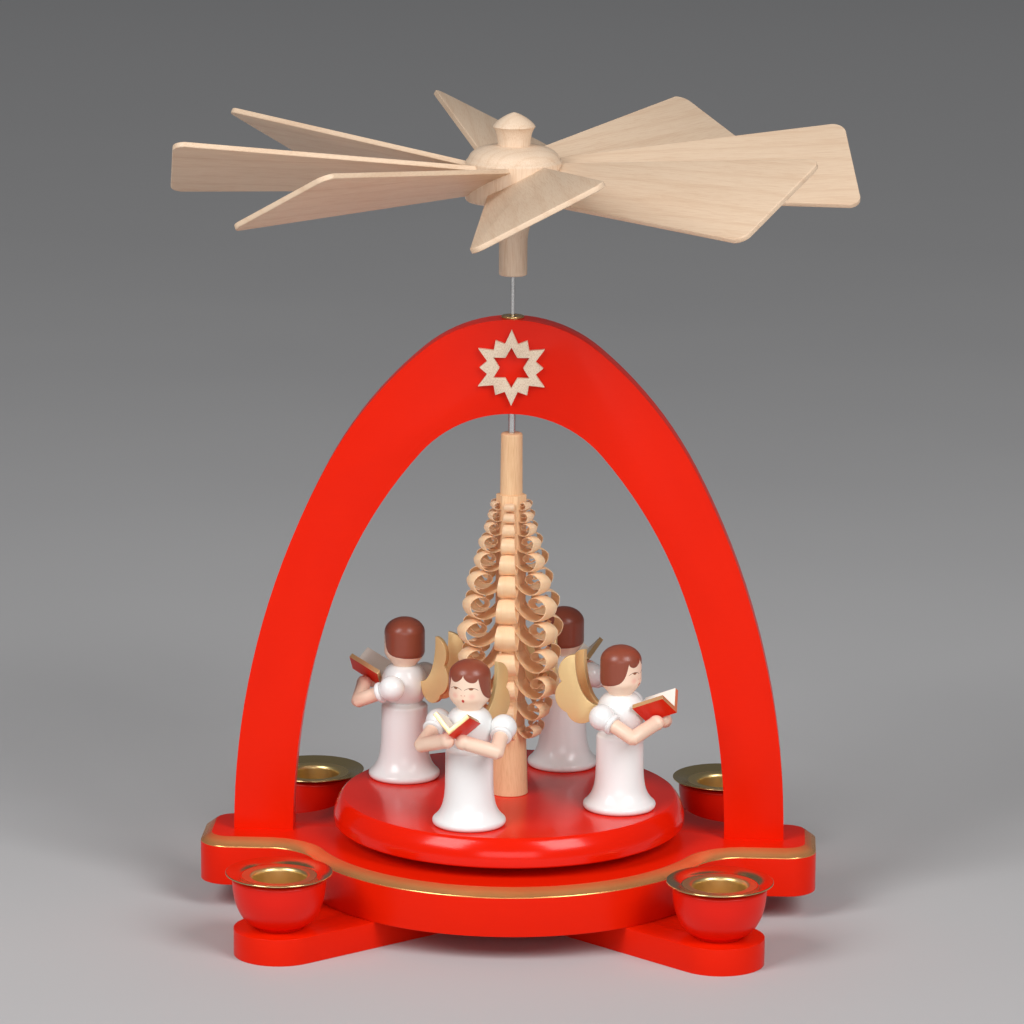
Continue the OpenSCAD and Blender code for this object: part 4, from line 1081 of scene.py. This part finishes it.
def make_book():
    """Two leaves open at a right angle: red outside, white inside and gold on every edge."""
    bm = slab([(0, 0), (leaf_w, 0), (leaf_w, leaf_t), (leaf_t, leaf_t), (leaf_t, leaf_w), (0, leaf_w)],
              0, book_len, 0.15, 3)
    bm.normal_update()
    for f in bm.faces:
        middle = f.calc_center_median()
        outside = min(f.normal.x, f.normal.y) < -0.9
        inside = max(f.normal.x, f.normal.y) > 0.9 and max(middle.x, middle.y) < leaf_w - 0.5
        tip = (f.normal.x > 0.9 and middle.x > leaf_w - 0.5) or (f.normal.y > 0.9 and middle.y > leaf_w - 0.5)
        f.material_index = 0 if outside else 2 if tip or not inside else 1
    section = Matrix(((0, 0, 1, 0), (1, 0, 0, 0), (0, 1, 0, 0), (0, 0, 0, 1)))
    turned = (at(*book_back) @ Matrix.Rotation(-book_tilt, 4, "Y") @ section
              @ Matrix.Rotation(math.radians(45), 4, "Z"))
    bmesh.ops.transform(bm, matrix=turned, verts=bm.verts)
    return bm


def mirrored(bm):
    bmesh.ops.scale(bm, vec=(1, -1, 1), verts=bm.verts)
    bmesh.ops.reverse_faces(bm, faces=bm.faces)
    return bm


for k, turn in enumerate(angel_turns, 1):
    stand_at = Matrix.Rotation(math.radians(turn), 4, "Z") @ at(angel_ring_r, 0, table_top)
    seat(finish_mesh(f"robe_{k}", lathe(robe_profile(), 80), [white_paint], stand_at),
         "carousel", "white_paint", f"angel_{k}_robe")
    seat(finish_mesh(f"head_{k}", lathe(head_profile(), 80), [head_paint], stand_at, "own_place"),
         "carousel", "skin_paint", f"angel_{k}_head")
    seat(finish_mesh(f"arm_left_{k}", make_arm(), [white_paint, skin_paint], stand_at),
         "carousel", "white_paint", f"angel_{k}_arm_left")
    seat(finish_mesh(f"arm_right_{k}", mirrored(make_arm()), [white_paint, skin_paint], stand_at),
         "carousel", "white_paint", f"angel_{k}_arm_right")
    seat(finish_mesh(f"book_{k}", make_book(), [book_red, page_white, book_gold], stand_at),
         "carousel", "book_paint", f"angel_{k}_book")
    for side in ("left", "right"):
        seat(softened(f"wing_{side}_{k}", f"angel_{k}_wing_{side}", [gold_wing], 0.2, 2),
             "carousel", "gold_paint", f"angel_{k}_wing_{side}")

# Floor, light and camera


def make_floor():
    """A wide flat sheet, pale round the object and a little paler far from it, where less light falls."""
    bm = bmesh.new()
    wide = 6000
    bm.faces.new([bm.verts.new((x, y, 0)) for x, y in ((-wide, -wide), (wide, -wide), (wide, wide), (-wide, wide))])
    material, tree, shader = new_material("studio_sheet")
    place = place_of(tree)
    cloud = noise(tree, place, 0.004, 2.0)
    pale = blend(tree, cloud, paint_value(200, 199, 199), paint_value(190, 189, 190))
    x, y, z = split(tree, place)
    far = (x * x + y * y).sqrt().ramp(700, 2800)
    tree.links.new(blend(tree, far, pale, paint_value(232, 231, 231)), shader.inputs["Base Color"])
    shader.inputs["Roughness"].default_value = 0.7
    return finish_mesh("studio_floor", bm, [material])


make_floor()


def add_lamp(name, place, target, size, power):
    lamp = bpy.data.lights.new(name, "AREA")
    lamp.shape = "RECTANGLE"
    lamp.size, lamp.size_y = size[0] * MM, size[1] * MM
    lamp.energy = power
    holder = bpy.data.objects.new(name, lamp)
    holder.location = Vector(place) * MM
    holder.rotation_mode = "QUATERNION"
    holder.rotation_quaternion = (Vector(target) - Vector(place)).to_track_quat("-Z", "Y")
    bpy.context.scene.collection.objects.link(holder)


add_lamp("left_softbox", (-930, -1000, 1140), (0, 0, 120), (700, 900), 17.3)
add_lamp("right_softbox", (930, -1000, 1140), (0, 0, 120), (700, 900), 17.3)
add_lamp("front_fill", (120, -2400, 650), (0, 0, 150), (1600, 700), 9)

world = bpy.data.worlds.new("studio_air")
world.use_nodes = True
world.node_tree.nodes["Background"].inputs["Color"].default_value = (0.9, 0.92, 0.95, 1)
world.node_tree.nodes["Background"].inputs["Strength"].default_value = 0.12
bpy.context.scene.world = world
bpy.context.scene.view_settings.view_transform = "Standard"

camera_data = bpy.data.cameras.new("camera")
camera_data.sensor_width = 36
camera_data.lens = 172.25
camera_data.clip_end = 50
camera = bpy.data.objects.new("camera", camera_data)
camera.location = Vector((77.1, -1598.9, 485.0)) * MM
look = Vector((-0.0469, 0.9759, -0.2133)).normalized()
camera.rotation_mode = "QUATERNION"
camera.rotation_quaternion = (look.to_track_quat("-Z", "Y").to_matrix()
                              @ Matrix.Rotation(0.0076, 3, "Z")).to_quaternion()
bpy.context.scene.collection.objects.link(camera)
bpy.context.scene.camera = camera
